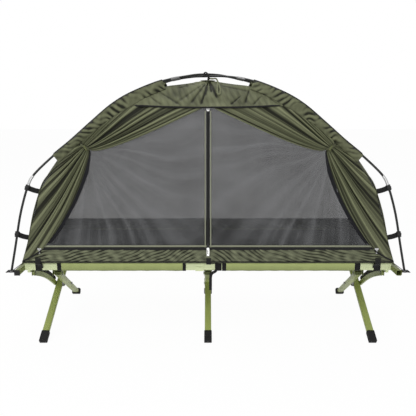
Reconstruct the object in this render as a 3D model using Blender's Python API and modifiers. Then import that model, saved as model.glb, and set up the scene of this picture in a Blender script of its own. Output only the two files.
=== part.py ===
# Tent cot: a folding camp bed on three pairs of crossed legs, with a small two-pole dome tent on it.
# Metres, +Z up. X runs along the bed, -Y is the door side, the origin is on the ground under the middle.

import bmesh
import bpy
import numpy as np
from math import atan2, cos, hypot, pi, radians, sin
from mathutils import Matrix, Vector

# Fits shared by all pieces
GAP = 0.0003  # between faces that touch
OVERRUN = 0.004  # how far a cutter runs past what it cuts
BITE = 0.0001  # how far two shapes that are joined go into each other
WELD = 0.00001  # vertices closer than this are one
EVEN = 0.0001  # merge distance of a turned piece

# Side rails: rectangular tubes, each in two halves
RAIL_REACH = 0.893  # from the middle to a rail's end
RAIL_SPREAD = 0.305  # from the middle to a rail's centre line
RAIL_TOP = 0.420
RAIL_HEIGHT = 0.036
RAIL_WIDTH = 0.024
TUBE_WALL = 0.0015
TUBE_CORNER = 0.004
CORE_ROOM = 0.0017  # between a tube's inside and a square core, for its round corners
SPLIT_X = -0.017  # where the two halves of a rail meet

# Legs: three crossed pairs
LEG_WIDTH = 0.034
LEG_DEPTH = 0.022
OUTER_LEG_IN_FROM_END = 0.061
INNER_LEG_IN_FROM_END = 0.155
OUTER_LEG_X = RAIL_REACH - OUTER_LEG_IN_FROM_END  # an end pair's front-footed leg, and its other leg's foot
INNER_LEG_X = RAIL_REACH - INNER_LEG_IN_FROM_END  # top of an end pair's rear-footed leg
PIVOT_DROP = 0.0170  # rail's underside to the pivot of a leg's top
LEG_PAST_PIVOT = 0.007
FOOT_PAST_RAIL = 0.011
FOOT_SPREAD = RAIL_SPREAD + FOOT_PAST_RAIL  # from the middle to a leg's lower end
FOOT_HEIGHT = 0.0125  # height of the leg's axis at its lower end
FORK_REACH = 0.115  # middle pair: from the crossing to the end of the fork's slot
FORK_LAP = 0.024
FORK_PLATE = 0.0025
MIDDLE_PLAY = 0.0008  # the leg inside the fork is narrower by this

# Foot caps
CAP_WALL = 0.0022
CAP_LENGTH = 0.062
CAP_TOE = 0.012  # how far a cap runs past the leg's end
CAP_ROUND = 0.003

# Pivot pins and the brackets that carry them
PIN_RADIUS = 0.004
PIN_HEAD_RADIUS = 0.0072
PIN_HEAD = 0.0025
PIN_STEPS = 12
PLATE = 0.002  # sheet thickness of a bracket
BRACKET_LENGTH = 0.026
BRACKET_BELOW_PIN = 0.010
BRACKET_SIDE_GAP = 0.0008
SLANT_ROOM = 0.0025  # more room at each side for a leg that leans sideways
SPACER_HEIGHT = 0.026

# Curved braces from the end crossings to the front rail
BRACE_IN_FROM_END = 0.0378
BRACE_X = RAIL_REACH - BRACE_IN_FROM_END
BRACE_THICKNESS = 0.009
BRACE_DEPTH = 0.024
BRACE_RISE = 0.014
BRACE_POINTS = 11
ROUND_POINTS = 7

# End bars, which hold the rails apart
BAR_SIZE = 0.027
BAR_PAST_RAIL = 0.080
BAR_REACH = RAIL_SPREAD + BAR_PAST_RAIL
BAR_CENTRE_Z = 0.3965
BAR_CAP = 0.003
BAR_PLUG = 0.016

# Rail fittings
PLUG_DEPTH = 0.018
KNOB_RADIUS = 0.009
KNOB_HEIGHT = 0.012
KNOB_IN_FROM_END = 0.016
SPIGOT_REACH = 0.060
HINGE_PLATE_REACH = 0.040
HINGE_PLATE_START = 0.0045
SPIGOT_ROOT = 0.020
SPIGOT_WALL = 0.0025

# Canvas bed
CANVAS = 0.0018
SLEEVE_IN_FROM_END = 0.1785
SLEEVE_OUTER_END = RAIL_REACH - SLEEVE_IN_FROM_END
SLEEVE_CUT_HALF = 0.105  # half of the bare stretch about the rail's split
SEWN_LAP = 0.0012

# Straps that hold the tent to the cot
STRAP_WIDTH = 0.030
STRAP = 0.0018
END_STRAP_IN_FROM_END = 0.063
END_STRAP_X = RAIL_REACH - END_STRAP_IN_FROM_END
MIDDLE_STRAP_X = 0.050
TAB_RISE = 0.036
TAB_UNDER = 0.004
TAIL_WIDTH = 0.014
TAIL_X = 0.012
TAIL_BEND = 0.345
TAIL_FOOT = 0.282
BRACE_STRAP_WIDTH = 0.020
BRACE_STRAP = 0.012  # it is a padded one
BRACE_STRAP_ROOM = 0.0005
BRACE_STRAP_STEPS = (2, 10)

# Tent poles
POLE_RADIUS = 0.0045
POLE_TIP_PAST_RAIL = 0.046
POLE_TIP_IN_FROM_BAR_END = 0.020
POLE_TIP_X = RAIL_REACH + POLE_TIP_PAST_RAIL
POLE_TIP_Y = BAR_REACH - POLE_TIP_IN_FROM_BAR_END
POLE_TIP_Z = 0.4012
POLE_TOP_Z = 1.319
POLE_STEPS = 30  # points on half a pole
FINE_STEPS = 12
CROSS_REACH = 0.10
# reach from the middle and height above the tips, as shares of the pole's, from tip to top
POLE_SHARES = (
    (1.000, 0.000), (0.973, 0.130), (0.946, 0.266), (0.925, 0.350), (0.899, 0.432), (0.868, 0.494),
    (0.778, 0.585), (0.689, 0.662), (0.590, 0.754), (0.490, 0.842), (0.389, 0.904), (0.238, 0.966),
    (0.090, 0.995), (0.000, 1.000),
)
# distance from the pole to the fabric's corner seam at those points
SEAM_DROP_TIP = 0.036
SEAM_DROP_LOW_CLIP = 0.050
SEAM_DROP_HIGH_CLIP = 0.054
SEAM_DROP_SLEEVE = 0.0095
SEAM_DROP_TOP = 0.0215
FLAT_SHARE = 0.10  # it stays as much below the pole as at the top out to here

# Pole sleeves, ferrules and clips
SLEEVE_BORE = 0.0056
SLEEVE_WALL = 0.0016
WEB = 0.0012  # the strip that joins a sleeve to the wall
WEB_INSET = 0.005
SLEEVE_LOW_SHARE = 0.775
SLEEVE_HIGH_SHARE = 0.245
FERRULE_RADIUS = 0.0062
FERRULE_INSET_SHARE = 0.06
JOINT_SHARES = (0.885, 0.225)
CLIP_SHARES = (0.905, 0.967)
CLIP_LENGTH = 0.018
CLIP_WALL = 0.0022
CLIP_INSET = 0.006  # where its webbing is sewn in, from the corner seam
CLIP_REACH = 0.09
CLIP_TRIES = 24
CLIP_STRAP_WIDTH = 0.014
CLIP_STRAP = 0.003

# Tent fabric
CLOTH = 0.0015
SEAM_BACK = 0.0021  # a panel's edge stops this far from the corner seam
FLAT_LIMIT = 3
SLOPE_STEP = 0.0004
PANEL_GAP = 0.0010
BAND_TOP = 0.502
HOOD_EDGE_SHARE = 0.8333
HOOD_EDGE = POLE_TIP_Z + HOOD_EDGE_SHARE * (POLE_TOP_Z - POLE_TIP_Z)
TOP_REACH = 0.021
FLAT_COLUMNS = 2
MESH_COLUMNS = 8
ROW_ROOM = 0.008  # rows of a panel are never closer than this

# Zips
TAPE_WIDTH = 0.016
TAPE = 0.0012
TAPE_IN_FROM_TIP = 0.104
TAPE_REACH = POLE_TIP_X - TAPE_IN_FROM_TIP
SLIDER_WIDTH = 0.009
SLIDER_LENGTH = 0.018
SLIDER_DEPTH = 0.005
SLIDER_IN_FROM_TAPE_END = 0.029
SLIDER_START_X = TAPE_REACH - SLIDER_IN_FROM_TAPE_END
PULL_LENGTH = 0.022
PULL_WIDTH = 0.006
PULL = 0.0015
SLIDER_ROUND = 0.0008

# Door flaps, tied back
TIE_SIDE_SHARE = 0.6262
TIE_RISE_SHARE = 0.6219
TIE_X = POLE_TIP_X * TIE_SIDE_SHARE
TIE_Z = POLE_TIP_Z + TIE_RISE_SHARE * (POLE_TOP_Z - POLE_TIP_Z)
TIE_WIDTH = 0.042
TIE_HEIGHT = 0.028
TIE_DEPTH = 0.010
TIE_ROOM = 0.0020
FLAP_ACROSS = 16
FLAP_ALONG = 8
FLAP_FOLDS = 4
FLAP_FOLD_HEIGHT = 0.011
FLAP_LIFT = 0.0028
FLAP_TIE_SWELL = 0.35
FLAP_CLOTH = 0.0016
FLAP_GATHER = 0.020
FLAP_PINCH = 0.008
FLAP_SAG = 0.034
FLAP_FOOT = 0.516
FLAP_BELOW_HOOD = 0.016
FLAP_HEAD = HOOD_EDGE - FLAP_BELOW_HOOD
FLAP_HEAD_X = 0.055
FLAP_FOOT_SHARE = 0.8413
FLAP_FOOT_X = POLE_TIP_X * FLAP_FOOT_SHARE
FLAP_SEAM_BACK = 0.012
FLAP_CORNER_SHARE = 0.6
FLAP_MEET = 0.0015
FLAP_BOW = 0.022

# Corner tabs
CORNER_TAB_LENGTH = 0.041
CORNER_TAB_WIDTH = 0.034
CORNER_TAB = 0.0030
TIP_CLEAR = 0.0016
CORD_RADIUS = 0.0015
CORD_ROOM = 0.0006
CORD_RISE = 0.006
CORD_END_BACK = 0.001
CORD_END_BESIDE = 0.0075

OLIVE_PAINT = (0.235, 0.262, 0.098)
OLIVE_CLOTH = (0.070, 0.075, 0.045)
CANVAS_GREEN = (0.330, 0.380, 0.150)
BLACK = (0.020, 0.020, 0.021)
STEEL = (0.055, 0.055, 0.058)
NET = (0.120, 0.120, 0.120)
SILVER = (0.60, 0.60, 0.60)

# Places that follow from the sizes above
RAIL_BOTTOM = RAIL_TOP - RAIL_HEIGHT
RAIL_MIDDLE = RAIL_TOP - RAIL_HEIGHT / 2
PIVOT_Z = RAIL_BOTTOM - PIVOT_DROP
CROSS_Z = PIVOT_Z - (PIVOT_Z - FOOT_HEIGHT) * RAIL_SPREAD / (RAIL_SPREAD + FOOT_SPREAD)
CROSS_SHARE = RAIL_SPREAD / (RAIL_SPREAD + FOOT_SPREAD)
CROSS_LEG_X = INNER_LEG_X + (OUTER_LEG_X - INNER_LEG_X) * CROSS_SHARE
CANVAS_BOTTOM = RAIL_TOP + GAP
CANVAS_TOP = CANVAS_BOTTOM + CANVAS
FLOOR_BOTTOM = CANVAS_TOP + GAP
FLOOR_TOP = FLOOR_BOTTOM + CLOTH
PANEL_FOOT = FLOOR_TOP + PANEL_GAP
BAR_X = RAIL_REACH + GAP + BAR_SIZE / 2
PIN_BORE = PIN_RADIUS + 2 * GAP
SIDE_SHARE = POLE_TIP_Y / POLE_TIP_X  # a pole's sideways reach for each metre along the bed
SIDES = (-1, 1)
SIDE_NAMES = {-1: "left", 0: "middle", 1: "right"}


def start():
    """Clear the scene's objects, and make one collection for the parts and one for the cutters."""
    for obj in list(bpy.data.objects):
        bpy.data.objects.remove(obj)
    made = []
    for name in ("tent_cot", "cutters"):
        collection = bpy.data.collections.new(name)
        bpy.context.scene.collection.children.link(collection)
        made.append(collection)
    return made


PARTS, CUTTERS = start()


def material(name, colour, roughness, metallic=0.0):
    made = bpy.data.materials.new(name)
    made.use_nodes = True
    shader = made.node_tree.nodes["Principled BSDF"]
    shader.inputs["Base Color"].default_value = (*colour, 1)
    shader.inputs["Roughness"].default_value = roughness
    shader.inputs["Metallic"].default_value = metallic
    return made


def empty(name, place, holder=None):
    """A pivot that the pieces of one moving body hang from."""
    made = bpy.data.objects.new(name, None)
    made.location = place
    if holder is not None:
        made.parent = holder
        made.location -= world_place(holder)
    PARTS.objects.link(made)
    return made


def world_place(holder):
    """Where a pivot is in the world: pivots only move, so their places add up."""
    place = holder.location.copy()
    while holder.parent is not None:
        holder = holder.parent
        place += holder.location
    return place


def link(name, data, collection=None):
    made = bpy.data.objects.new(name, data)
    (collection or PARTS).objects.link(made)
    return made


def finish(obj, look, pivot=None, smooth=True):
    """Give a piece its material and hang it from its body's pivot, with its place kept."""
    obj.data.materials.clear()
    obj.data.materials.append(look)
    if smooth and obj.type == "MESH":
        obj.data.shade_smooth()
        obj.data.set_sharp_from_angle(angle=radians(35))
    if pivot is not None:
        obj.parent = pivot
        obj.matrix_parent_inverse = Matrix.Translation(-world_place(pivot))
    return obj


def to_mesh(curve, closed=True):
    """Turn a curve object into a mesh object with its caps welded."""
    bpy.context.view_layer.update()
    graph = bpy.context.evaluated_depsgraph_get()
    mesh = bpy.data.meshes.new_from_object(curve.evaluated_get(graph))
    shape = bmesh.new()
    shape.from_mesh(mesh)
    bmesh.ops.remove_doubles(shape, verts=shape.verts, dist=WELD)
    if closed:
        bmesh.ops.recalc_face_normals(shape, faces=shape.faces)
    shape.to_mesh(mesh)
    shape.free()
    name = curve.name
    collection = curve.users_collection[0]
    matrix = curve.matrix_world.copy()
    bpy.data.objects.remove(curve)
    made = link(name, mesh, collection)
    made.matrix_world = matrix
    return made


def slab(name, loops, thickness, matrix=None, collection=None):
    """A flat outline, with any holes, made as thick as asked about its own plane."""
    curve = bpy.data.curves.new(name, "CURVE")
    curve.dimensions = "2D"
    curve.fill_mode = "BOTH"
    curve.extrude = thickness / 2
    for loop in loops:
        spline = curve.splines.new("POLY")
        spline.points.add(len(loop) - 1)
        for point, (x, y) in zip(spline.points, loop):
            point.co = (x, y, 0, 1)
        spline.use_cyclic_u = True
    made = link(name, curve, collection)
    made.matrix_world = matrix or Matrix.Identity(4)
    return to_mesh(made)


def rounded(width, height, corner, steps=2):
    """Points of a rectangle with round corners, about its own middle."""
    points = []
    for turn, (sx, sy) in enumerate(((1, 1), (-1, 1), (-1, -1), (1, -1))):
        for step in range(steps):
            angle = (turn + step / (steps - 1)) * pi / 2
            x = sx * (width / 2 - corner) + corner * cos(angle)
            y = sy * (height / 2 - corner) + corner * sin(angle)
            points.append((x, y))
    return points


def frame_along(start_point, end_point):
    """A matrix at the middle of a run: its Z along the run, its X as near the world's X as can be."""
    start_point, end_point = Vector(start_point), Vector(end_point)
    along = (end_point - start_point).normalized()
    across = Vector((1, 0, 0)) - along * along.x
    if across.length < 0.5:
        across = Vector((0, 1, 0)) - along * along.y
    across.normalize()
    third = along.cross(across)
    matrix = Matrix((across, third, along)).transposed().to_4x4()
    matrix.translation = (start_point + end_point) / 2
    return matrix, (end_point - start_point).length


def tube(name, start_point, end_point, width, depth, collection=None, wall=TUBE_WALL, corner=TUBE_CORNER):
    """A hollow rectangular tube between two points."""
    matrix, length = frame_along(start_point, end_point)
    outer = rounded(width, depth, corner)
    inner = rounded(width - 2 * wall, depth - 2 * wall, corner - wall)
    return slab(name, (outer, inner), length, matrix, collection)


def box(name, low, high, collection=None, matrix=None, edge=0.0):
    """A box between two corners, in its own frame, with round edges if asked."""
    mesh = bpy.data.meshes.new(name)
    shape = bmesh.new()
    bmesh.ops.create_cube(shape, size=1)
    size = Vector(high) - Vector(low)
    centre = (Vector(high) + Vector(low)) / 2
    bmesh.ops.scale(shape, vec=size, verts=shape.verts)
    bmesh.ops.translate(shape, vec=centre, verts=shape.verts)
    shape.to_mesh(mesh)
    shape.free()
    made = link(name, mesh, collection)
    made.matrix_world = matrix or Matrix.Identity(4)
    if edge:
        bevel = made.modifiers.new("edges", "BEVEL")
        bevel.width = edge
        bevel.segments = 2
    return made


def rod(name, start_point, end_point, radius, sides=PIN_STEPS, collection=None):
    """A round bar between two points."""
    matrix, length = frame_along(start_point, end_point)
    mesh = bpy.data.meshes.new(name)
    shape = bmesh.new()
    bmesh.ops.create_cone(
        shape, cap_ends=True, segments=sides, radius1=radius, radius2=radius, depth=length
    )
    shape.to_mesh(mesh)
    shape.free()
    made = link(name, mesh, collection)
    made.matrix_world = matrix
    return made


def cut(obj, cutter, operation="DIFFERENCE", solver="EXACT"):
    cutter.hide_render = True
    cutter.display_type = "WIRE"
    change = obj.modifiers.new("cut", "BOOLEAN")
    change.operation = operation
    change.solver = solver
    change.object = cutter
    return obj


def cutter_box(name, low, high, matrix=None):
    return box(name + "_cutter", low, high, CUTTERS, matrix)


def cutter_rod(name, start_point, end_point, radius):
    return rod(name + "_cutter", start_point, end_point, radius, PIN_STEPS, CUTTERS)


def bore_across(obj, middle, half_width):
    """A pin's bore along X through a piece."""
    reach = Vector((half_width + OVERRUN, 0, 0))
    middle = Vector(middle)
    return cut(obj, cutter_rod(obj.name, middle - reach, middle + reach, PIN_BORE))


def turned(name, profile, collection=None, steps=PIN_STEPS):
    """A turned piece: a profile of (radius, height) points, from top to bottom, about Z."""
    mesh = bpy.data.meshes.new(name)
    edges = [(i, i + 1) for i in range(len(profile) - 1)]
    mesh.from_pydata([(r, 0, z) for r, z in profile], edges, [])
    made = link(name, mesh, collection)
    screw = made.modifiers.new("turn", "SCREW")
    screw.steps = steps
    screw.render_steps = steps
    screw.use_merge_vertices = True
    screw.merge_threshold = EVEN
    screw.use_normal_calculate = False
    return made


def pin(name, low_x, high_x, y, z, room=GAP, collection=None):
    """A headed pin along X whose heads lie outside the two faces it holds."""
    half = (high_x - low_x) / 2 + room
    profile = (
        (0, half + PIN_HEAD), (PIN_HEAD_RADIUS, half + PIN_HEAD), (PIN_HEAD_RADIUS, half),
        (PIN_RADIUS, half), (PIN_RADIUS, -half), (PIN_HEAD_RADIUS, -half),
        (PIN_HEAD_RADIUS, -half - PIN_HEAD), (0, -half - PIN_HEAD),
    )
    made = turned(name, profile, collection)
    made.matrix_world = Matrix.Translation(((low_x + high_x) / 2, y, z)) @ Matrix.Rotation(pi / 2, 4, "Y")
    return made


def add(obj, other, solver="EXACT"):
    """Join another solid to a piece, so that both are one body."""
    return cut(obj, other, "UNION", solver)


def thick_sheet(name, place, across, along, thickness, collection=None):
    """A folded cloth: a grid and a second layer of it, each put in place by two shares and a lift."""
    mesh = bpy.data.meshes.new(name)
    shape = bmesh.new()
    bmesh.ops.create_grid(shape, x_segments=across, y_segments=along, size=0.5)
    raised = bmesh.ops.extrude_face_region(shape, geom=shape.faces[:])["geom"]
    second = {v for v in raised if isinstance(v, bmesh.types.BMVert)}
    for vert in shape.verts:
        lift = thickness if vert in second else 0
        vert.co = Vector([float(c) for c in place(vert.co.x + 0.5, vert.co.y + 0.5, lift)])
    bmesh.ops.recalc_face_normals(shape, faces=shape.faces)
    shape.to_mesh(mesh)
    shape.free()
    return link(name, mesh, collection)


def sheet(name, place, across, along, thickness, outward=1, collection=None):
    """A cloth panel: a grid whose points are put in place by two shares, with a thickness on one side."""
    mesh = bpy.data.meshes.new(name)
    shape = bmesh.new()
    bmesh.ops.create_grid(shape, x_segments=across, y_segments=along, size=0.5)
    for vert in shape.verts:
        vert.co = Vector([float(c) for c in place(vert.co.x + 0.5, vert.co.y + 0.5)])
    shape.to_mesh(mesh)
    shape.free()
    made = link(name, mesh, collection)
    wall = made.modifiers.new("cloth", "SOLIDIFY")
    wall.thickness = thickness
    wall.offset = outward
    return made


def round_bar(name, points, radius, collection=None, capped=True, resolution=2):
    """A round bar, or an open tube, that follows a path of points."""
    curve = bpy.data.curves.new(name, "CURVE")
    curve.dimensions = "3D"
    curve.bevel_depth = radius
    curve.bevel_resolution = resolution
    curve.use_fill_caps = capped
    spline = curve.splines.new("POLY")
    spline.points.add(len(points) - 1)
    for point, place in zip(spline.points, points):
        point.co = (*place, 1)
    return to_mesh(link(name, curve, collection), capped)


def pipe(name, points, bore, wall):
    """A hollow tube that follows a path, to be joined to something."""
    made = round_bar(name, points, bore, CUTTERS, False, 1)
    shell = made.modifiers.new("wall", "SOLIDIFY")
    shell.thickness = wall
    shell.offset = 1
    return made


def smooth_line(points, count):
    """Points at even steps along a smooth curve through the given ones."""
    points = np.array(points, dtype=float)
    padded = np.vstack((2 * points[0] - points[1], points, 2 * points[-1] - points[-2]))
    fine = []
    for i in range(len(points) - 1):
        p0, p1, p2, p3 = padded[i:i + 4]
        t = np.linspace(0, 1, FINE_STEPS, endpoint=False)[:, None]
        bend = (2 * p0 - 5 * p1 + 4 * p2 - p3) * t ** 2
        fine.append((2 * p1 + (p2 - p0) * t + bend + (3 * p1 - p0 - 3 * p2 + p3) * t ** 3) / 2)
    fine = np.vstack(fine + [points[-1:]])
    run = np.concatenate(([0], np.cumsum(np.linalg.norm(np.diff(fine, axis=0), axis=1))))
    even = np.linspace(0, run[-1], count)
    return np.column_stack([np.interp(even, run, fine[:, k]) for k in range(points.shape[1])])


# Pole and seam lines, in the upright plane of a pole: reach along X, and height
POLE_LINE = smooth_line(
    [(share * POLE_TIP_X, POLE_TIP_Z + rise * (POLE_TOP_Z - POLE_TIP_Z)) for share, rise in POLE_SHARES],
    POLE_STEPS,
)


def seam_line():
    """The fabric's corner seam: the pole's line moved inwards, more below the sleeve than on it."""
    drops = np.interp(
        POLE_LINE[:, 0] / POLE_TIP_X,
        (0, FLAT_SHARE, SLEEVE_HIGH_SHARE, SLEEVE_LOW_SHARE, CLIP_SHARES[0], CLIP_SHARES[1], 1),
        (
            SEAM_DROP_TOP, SEAM_DROP_TOP, SEAM_DROP_SLEEVE, SEAM_DROP_SLEEVE, SEAM_DROP_HIGH_CLIP,
            SEAM_DROP_LOW_CLIP, SEAM_DROP_TIP,
        ),
    )
    slope = np.gradient(POLE_LINE, axis=0)
    slope /= np.linalg.norm(slope, axis=1)[:, None]
    inward = np.column_stack((-slope[:, 1], slope[:, 0]))
    inward[-1] = (0, -1)
    moved = POLE_LINE + inward * drops[:, None]
    moved[-1, 0] = 0
    return moved


SEAM_LINE = seam_line()


def seam_x(z):
    """How far along X the corner seam is at a height."""
    return float(np.interp(z, SEAM_LINE[:, 1], SEAM_LINE[:, 0]))


def seam_slope(z):
    """How fast the corner seam draws in along X as it rises."""
    return (seam_x(z - SLOPE_STEP) - seam_x(z + SLOPE_STEP)) / (2 * SLOPE_STEP)


def seam_rows(low_z, high_z):
    """The seam's points between two heights, with one at each: reach along X, and height."""
    rows = [(seam_x(low_z), low_z)]
    for reach, z in SEAM_LINE:
        if z > rows[-1][1] + ROW_ROOM and z < high_z - ROW_ROOM and reach > TOP_REACH + ROW_ROOM:
            rows.append((float(reach), float(z)))
    rows.append((seam_x(high_z), high_z))
    return rows


TOP_Z = float(np.interp(-TOP_REACH, -SEAM_LINE[:, 0], SEAM_LINE[:, 1]))


def door_depth(z):
    """How far forward the middle of a door side is: straight between its band and its hood."""
    if BAND_TOP < z < HOOD_EDGE:
        share = (z - BAND_TOP) / (HOOD_EDGE - BAND_TOP)
        return SIDE_SHARE * (seam_x(BAND_TOP) * (1 - share) + seam_x(HOOD_EDGE) * share)
    return SIDE_SHARE * seam_x(z)


def door_surface(x, z):
    """How far forward a door side is at a place."""
    reach = seam_x(z)
    share = min(1.0, abs(x) / max(reach, SLOPE_STEP)) ** 2
    return SIDE_SHARE * reach * share + door_depth(z) * (1 - share)


def door_point(x, z, side, out=0.0):
    """A point on the front (-1) or rear (1) face of the tent, or this far outside it."""
    depth = door_surface(x, z)
    if out:
        lean = (door_surface(x, z - SLOPE_STEP) - door_surface(x, z + SLOPE_STEP)) / (2 * SLOPE_STEP)
        depth += out / hypot(1, lean)
        z += out * lean / hypot(1, lean)
    return (x, side * depth, z)


def edge_back(slope):
    """How far a panel's edge stays from the seam, more where the seam is flatter."""
    return SEAM_BACK * min(FLAT_LIMIT, hypot(1, slope))


def door_panel(name, low, high, side, columns=FLAT_COLUMNS, collection=None):
    """A panel of the front or rear face between two heights, from seam to seam."""
    rows = seam_rows(low, high)

    def place(across, up):
        reach, z = rows[round(up * (len(rows) - 1))]
        reach -= edge_back(seam_slope(z))
        return door_point((2 * across - 1) * reach, z, side)
    return sheet(name, place, columns, len(rows) - 1, CLOTH, side, collection)


def end_wall(side, look, pivot):
    """An end wall of the tent, with the pole sleeves and the clips that are sewn to its edges."""
    rows = seam_rows(PANEL_FOOT, TOP_Z)

    def place(across, up):
        reach, z = rows[round(up * (len(rows) - 1))]
        half = SIDE_SHARE * reach - edge_back(SIDE_SHARE * seam_slope(z))
        return (side * reach, side * (2 * across - 1) * half, z)
    made = sheet("end_wall_" + SIDE_NAMES[side], place, FLAT_COLUMNS, len(rows) - 1, CLOTH, -1)
    for y_side in SIDES:
        add(made, sleeve_web(side, y_side))
        add(made, pole_sleeve(side, y_side))
        for share in CLIP_SHARES:
            ring, webbing = clip("clip", side, y_side, share)
            add(made, webbing)
            add(made, ring)
    return finish(made, look, pivot)


def tent_tub(look, pivot):
    """The tent's floor with its upright front and rear edges."""
    reach = seam_x(PANEL_FOOT)
    half = SIDE_SHARE * reach
    made = box("tent_tub", (-reach, -half, FLOOR_BOTTOM), (reach, half, FLOOR_TOP))
    for side in SIDES:
        add(made, door_panel("band", FLOOR_TOP - BITE, BAND_TOP - PANEL_GAP / 2, side, collection=CUTTERS))
    return finish(made, look, pivot)


def cross_lift(x, which):
    """Where the poles cross, one passes over the other."""
    return which * (POLE_RADIUS + GAP) * np.exp(-((x / CROSS_REACH) ** 2))


def pole_points(x_side, y_side):
    """Half of a pole, from its tip to the top, at one corner."""
    lift = cross_lift(POLE_LINE[:, 0], x_side * y_side)
    return np.column_stack((
        x_side * POLE_LINE[:, 0], y_side * SIDE_SHARE * POLE_LINE[:, 0], POLE_LINE[:, 1] + lift,
    ))


def step_at(share):
    """The pole's step nearest to a share of its reach."""
    return int(np.argmin(np.abs(POLE_LINE[:, 0] - share * POLE_TIP_X)))


def pole(name, which, look, pivot):
    """A whole pole, from one corner over the top to the corner across from it, with its joint tubes."""
    first, second = pole_points(-1, -which), pole_points(1, which)[::-1]
    made = round_bar(name, np.vstack((first, second[1:])), POLE_RADIUS)
    for side in SIDES:
        for share in JOINT_SHARES:
            step = step_at(share)
            ends = pole_points(side, side * which)[step:step + 2]
            inset = (ends[1] - ends[0]) * FERRULE_INSET_SHARE
            add(made, round_bar("ferrule", (ends[0] + inset, ends[1] - inset), FERRULE_RADIUS, CUTTERS))
    return finish(made, look, pivot)


def sleeve_steps():
    """The pole's steps that a sleeve covers."""
    return slice(step_at(SLEEVE_LOW_SHARE), step_at(SLEEVE_HIGH_SHARE) + 1)


def pole_sleeve(x_side, y_side):
    """The cloth sleeve that holds the upper part of a pole."""
    return pipe("sleeve", pole_points(x_side, y_side)[sleeve_steps()], SLEEVE_BORE, SLEEVE_WALL)


def sleeve_web(x_side, y_side):
    """The strip of cloth that joins a pole sleeve to the end wall's edge."""
    poles = pole_points(x_side, y_side)[sleeve_steps()]
    seams = SEAM_LINE[sleeve_steps()]

    def place(across, up):
        step = round(up * (len(poles) - 1))
        reach, z = seams[step]
        slope = seam_slope(z)
        depth = CLOTH / 2 / hypot(1, slope)
        sewn = Vector((
            x_side * (reach - depth), y_side * (SIDE_SHARE * reach - WEB_INSET), z - slope * depth,
        ))
        middle = Vector(poles[step])
        edge = middle + (sewn - middle).normalized() * (SLEEVE_BORE + SLEEVE_WALL / 2)
        return edge.lerp(sewn, across)
    return sheet("web", place, 1, len(poles) - 1, WEB, 0, CUTTERS)


def clip(name, x_side, y_side, share):
    """A hook round a pole and the short webbing that joins it to an end wall."""
    step = step_at(share)
    below, above = [Vector(p) for p in pole_points(x_side, y_side)[step:step + 2]]
    middle = (below + above) / 2
    run = (above - below).normalized()
    half = run * CLIP_LENGTH / 2
    ring = pipe(name + "_hook", (middle - half, middle + half), SLEEVE_BORE, CLIP_WALL)
    reach = seam_x(middle.z)
    inward = Vector((x_side * reach, y_side * (SIDE_SHARE * reach - CLIP_INSET), middle.z)) - middle
    inward = (inward - run * inward.dot(run)).normalized()
    near, far = 0, CLIP_REACH
    for _ in range(CLIP_TRIES):
        length = (near + far) / 2
        point = middle + inward * length
        if abs(point.x) > seam_x(point.z) - CLOTH / 2:
            near = length
        else:
            far = length
    matrix = Matrix((inward.cross(run), run, inward)).transposed().to_4x4()
    matrix.translation = middle
    low = (-CLIP_STRAP / 2, -CLIP_STRAP_WIDTH / 2, SLEEVE_BORE + CLIP_WALL / 2)
    webbing = cutter_box(name, low, (CLIP_STRAP / 2, CLIP_STRAP_WIDTH / 2, length), matrix)
    return ring, webbing


def corner_tab(x_side, y_side, look, pivot):
    """The webbing tab under a pole's tip, with the cord that ties it to the tent's corner."""
    inner = BAR_X + BAR_SIZE / 2 + GAP
    xs = sorted((x_side * inner, x_side * (inner + CORNER_TAB_LENGTH)))
    half = CORNER_TAB_WIDTH / 2
    ys = sorted((y_side * (POLE_TIP_Y - half), y_side * (POLE_TIP_Y + half)))
    top = POLE_TIP_Z - TIP_CLEAR
    name = "corner_tab_" + ("front_" if y_side < 0 else "rear_") + SIDE_NAMES[x_side]
    tab = box(name, (xs[0], ys[0], top - CORNER_TAB), (xs[1], ys[1], top))
    z = FLOOR_TOP + CORD_RISE
    reach = seam_x(z)
    start_point = (x_side * (reach + CORD_RADIUS + CORD_ROOM), y_side * (SIDE_SHARE * reach + GAP), z)
    end_point = (
        x_side * (POLE_TIP_X - CORD_END_BACK), y_side * (POLE_TIP_Y - CORD_END_BESIDE), top - CORNER_TAB / 2
    )
    add(tab, round_bar("cord", (start_point, end_point), CORD_RADIUS, CUTTERS))
    return finish(tab, look, pivot, smooth=False)


def leg_ends(top_x, foot_x, top_side):
    """The top pivot and the lower end of a leg whose top is at the front (-1) or the rear (1)."""
    top = Vector((top_x, top_side * RAIL_SPREAD, PIVOT_Z))
    foot = Vector((foot_x, -top_side * FOOT_SPREAD, FOOT_HEIGHT))
    return top, foot


def leg(name, top_x, foot_x, top_side, look, pivot, width=LEG_WIDTH):
    top, foot = leg_ends(top_x, foot_x, top_side)
    along = (foot - top).normalized()
    made = tube(name, top - along * LEG_PAST_PIVOT, foot, width, LEG_DEPTH)
    bore_across(made, top, LEG_WIDTH)
    bore_across(made, top + (foot - top) * CROSS_SHARE, LEG_WIDTH)
    return finish(made, look, pivot, smooth=False)


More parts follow.
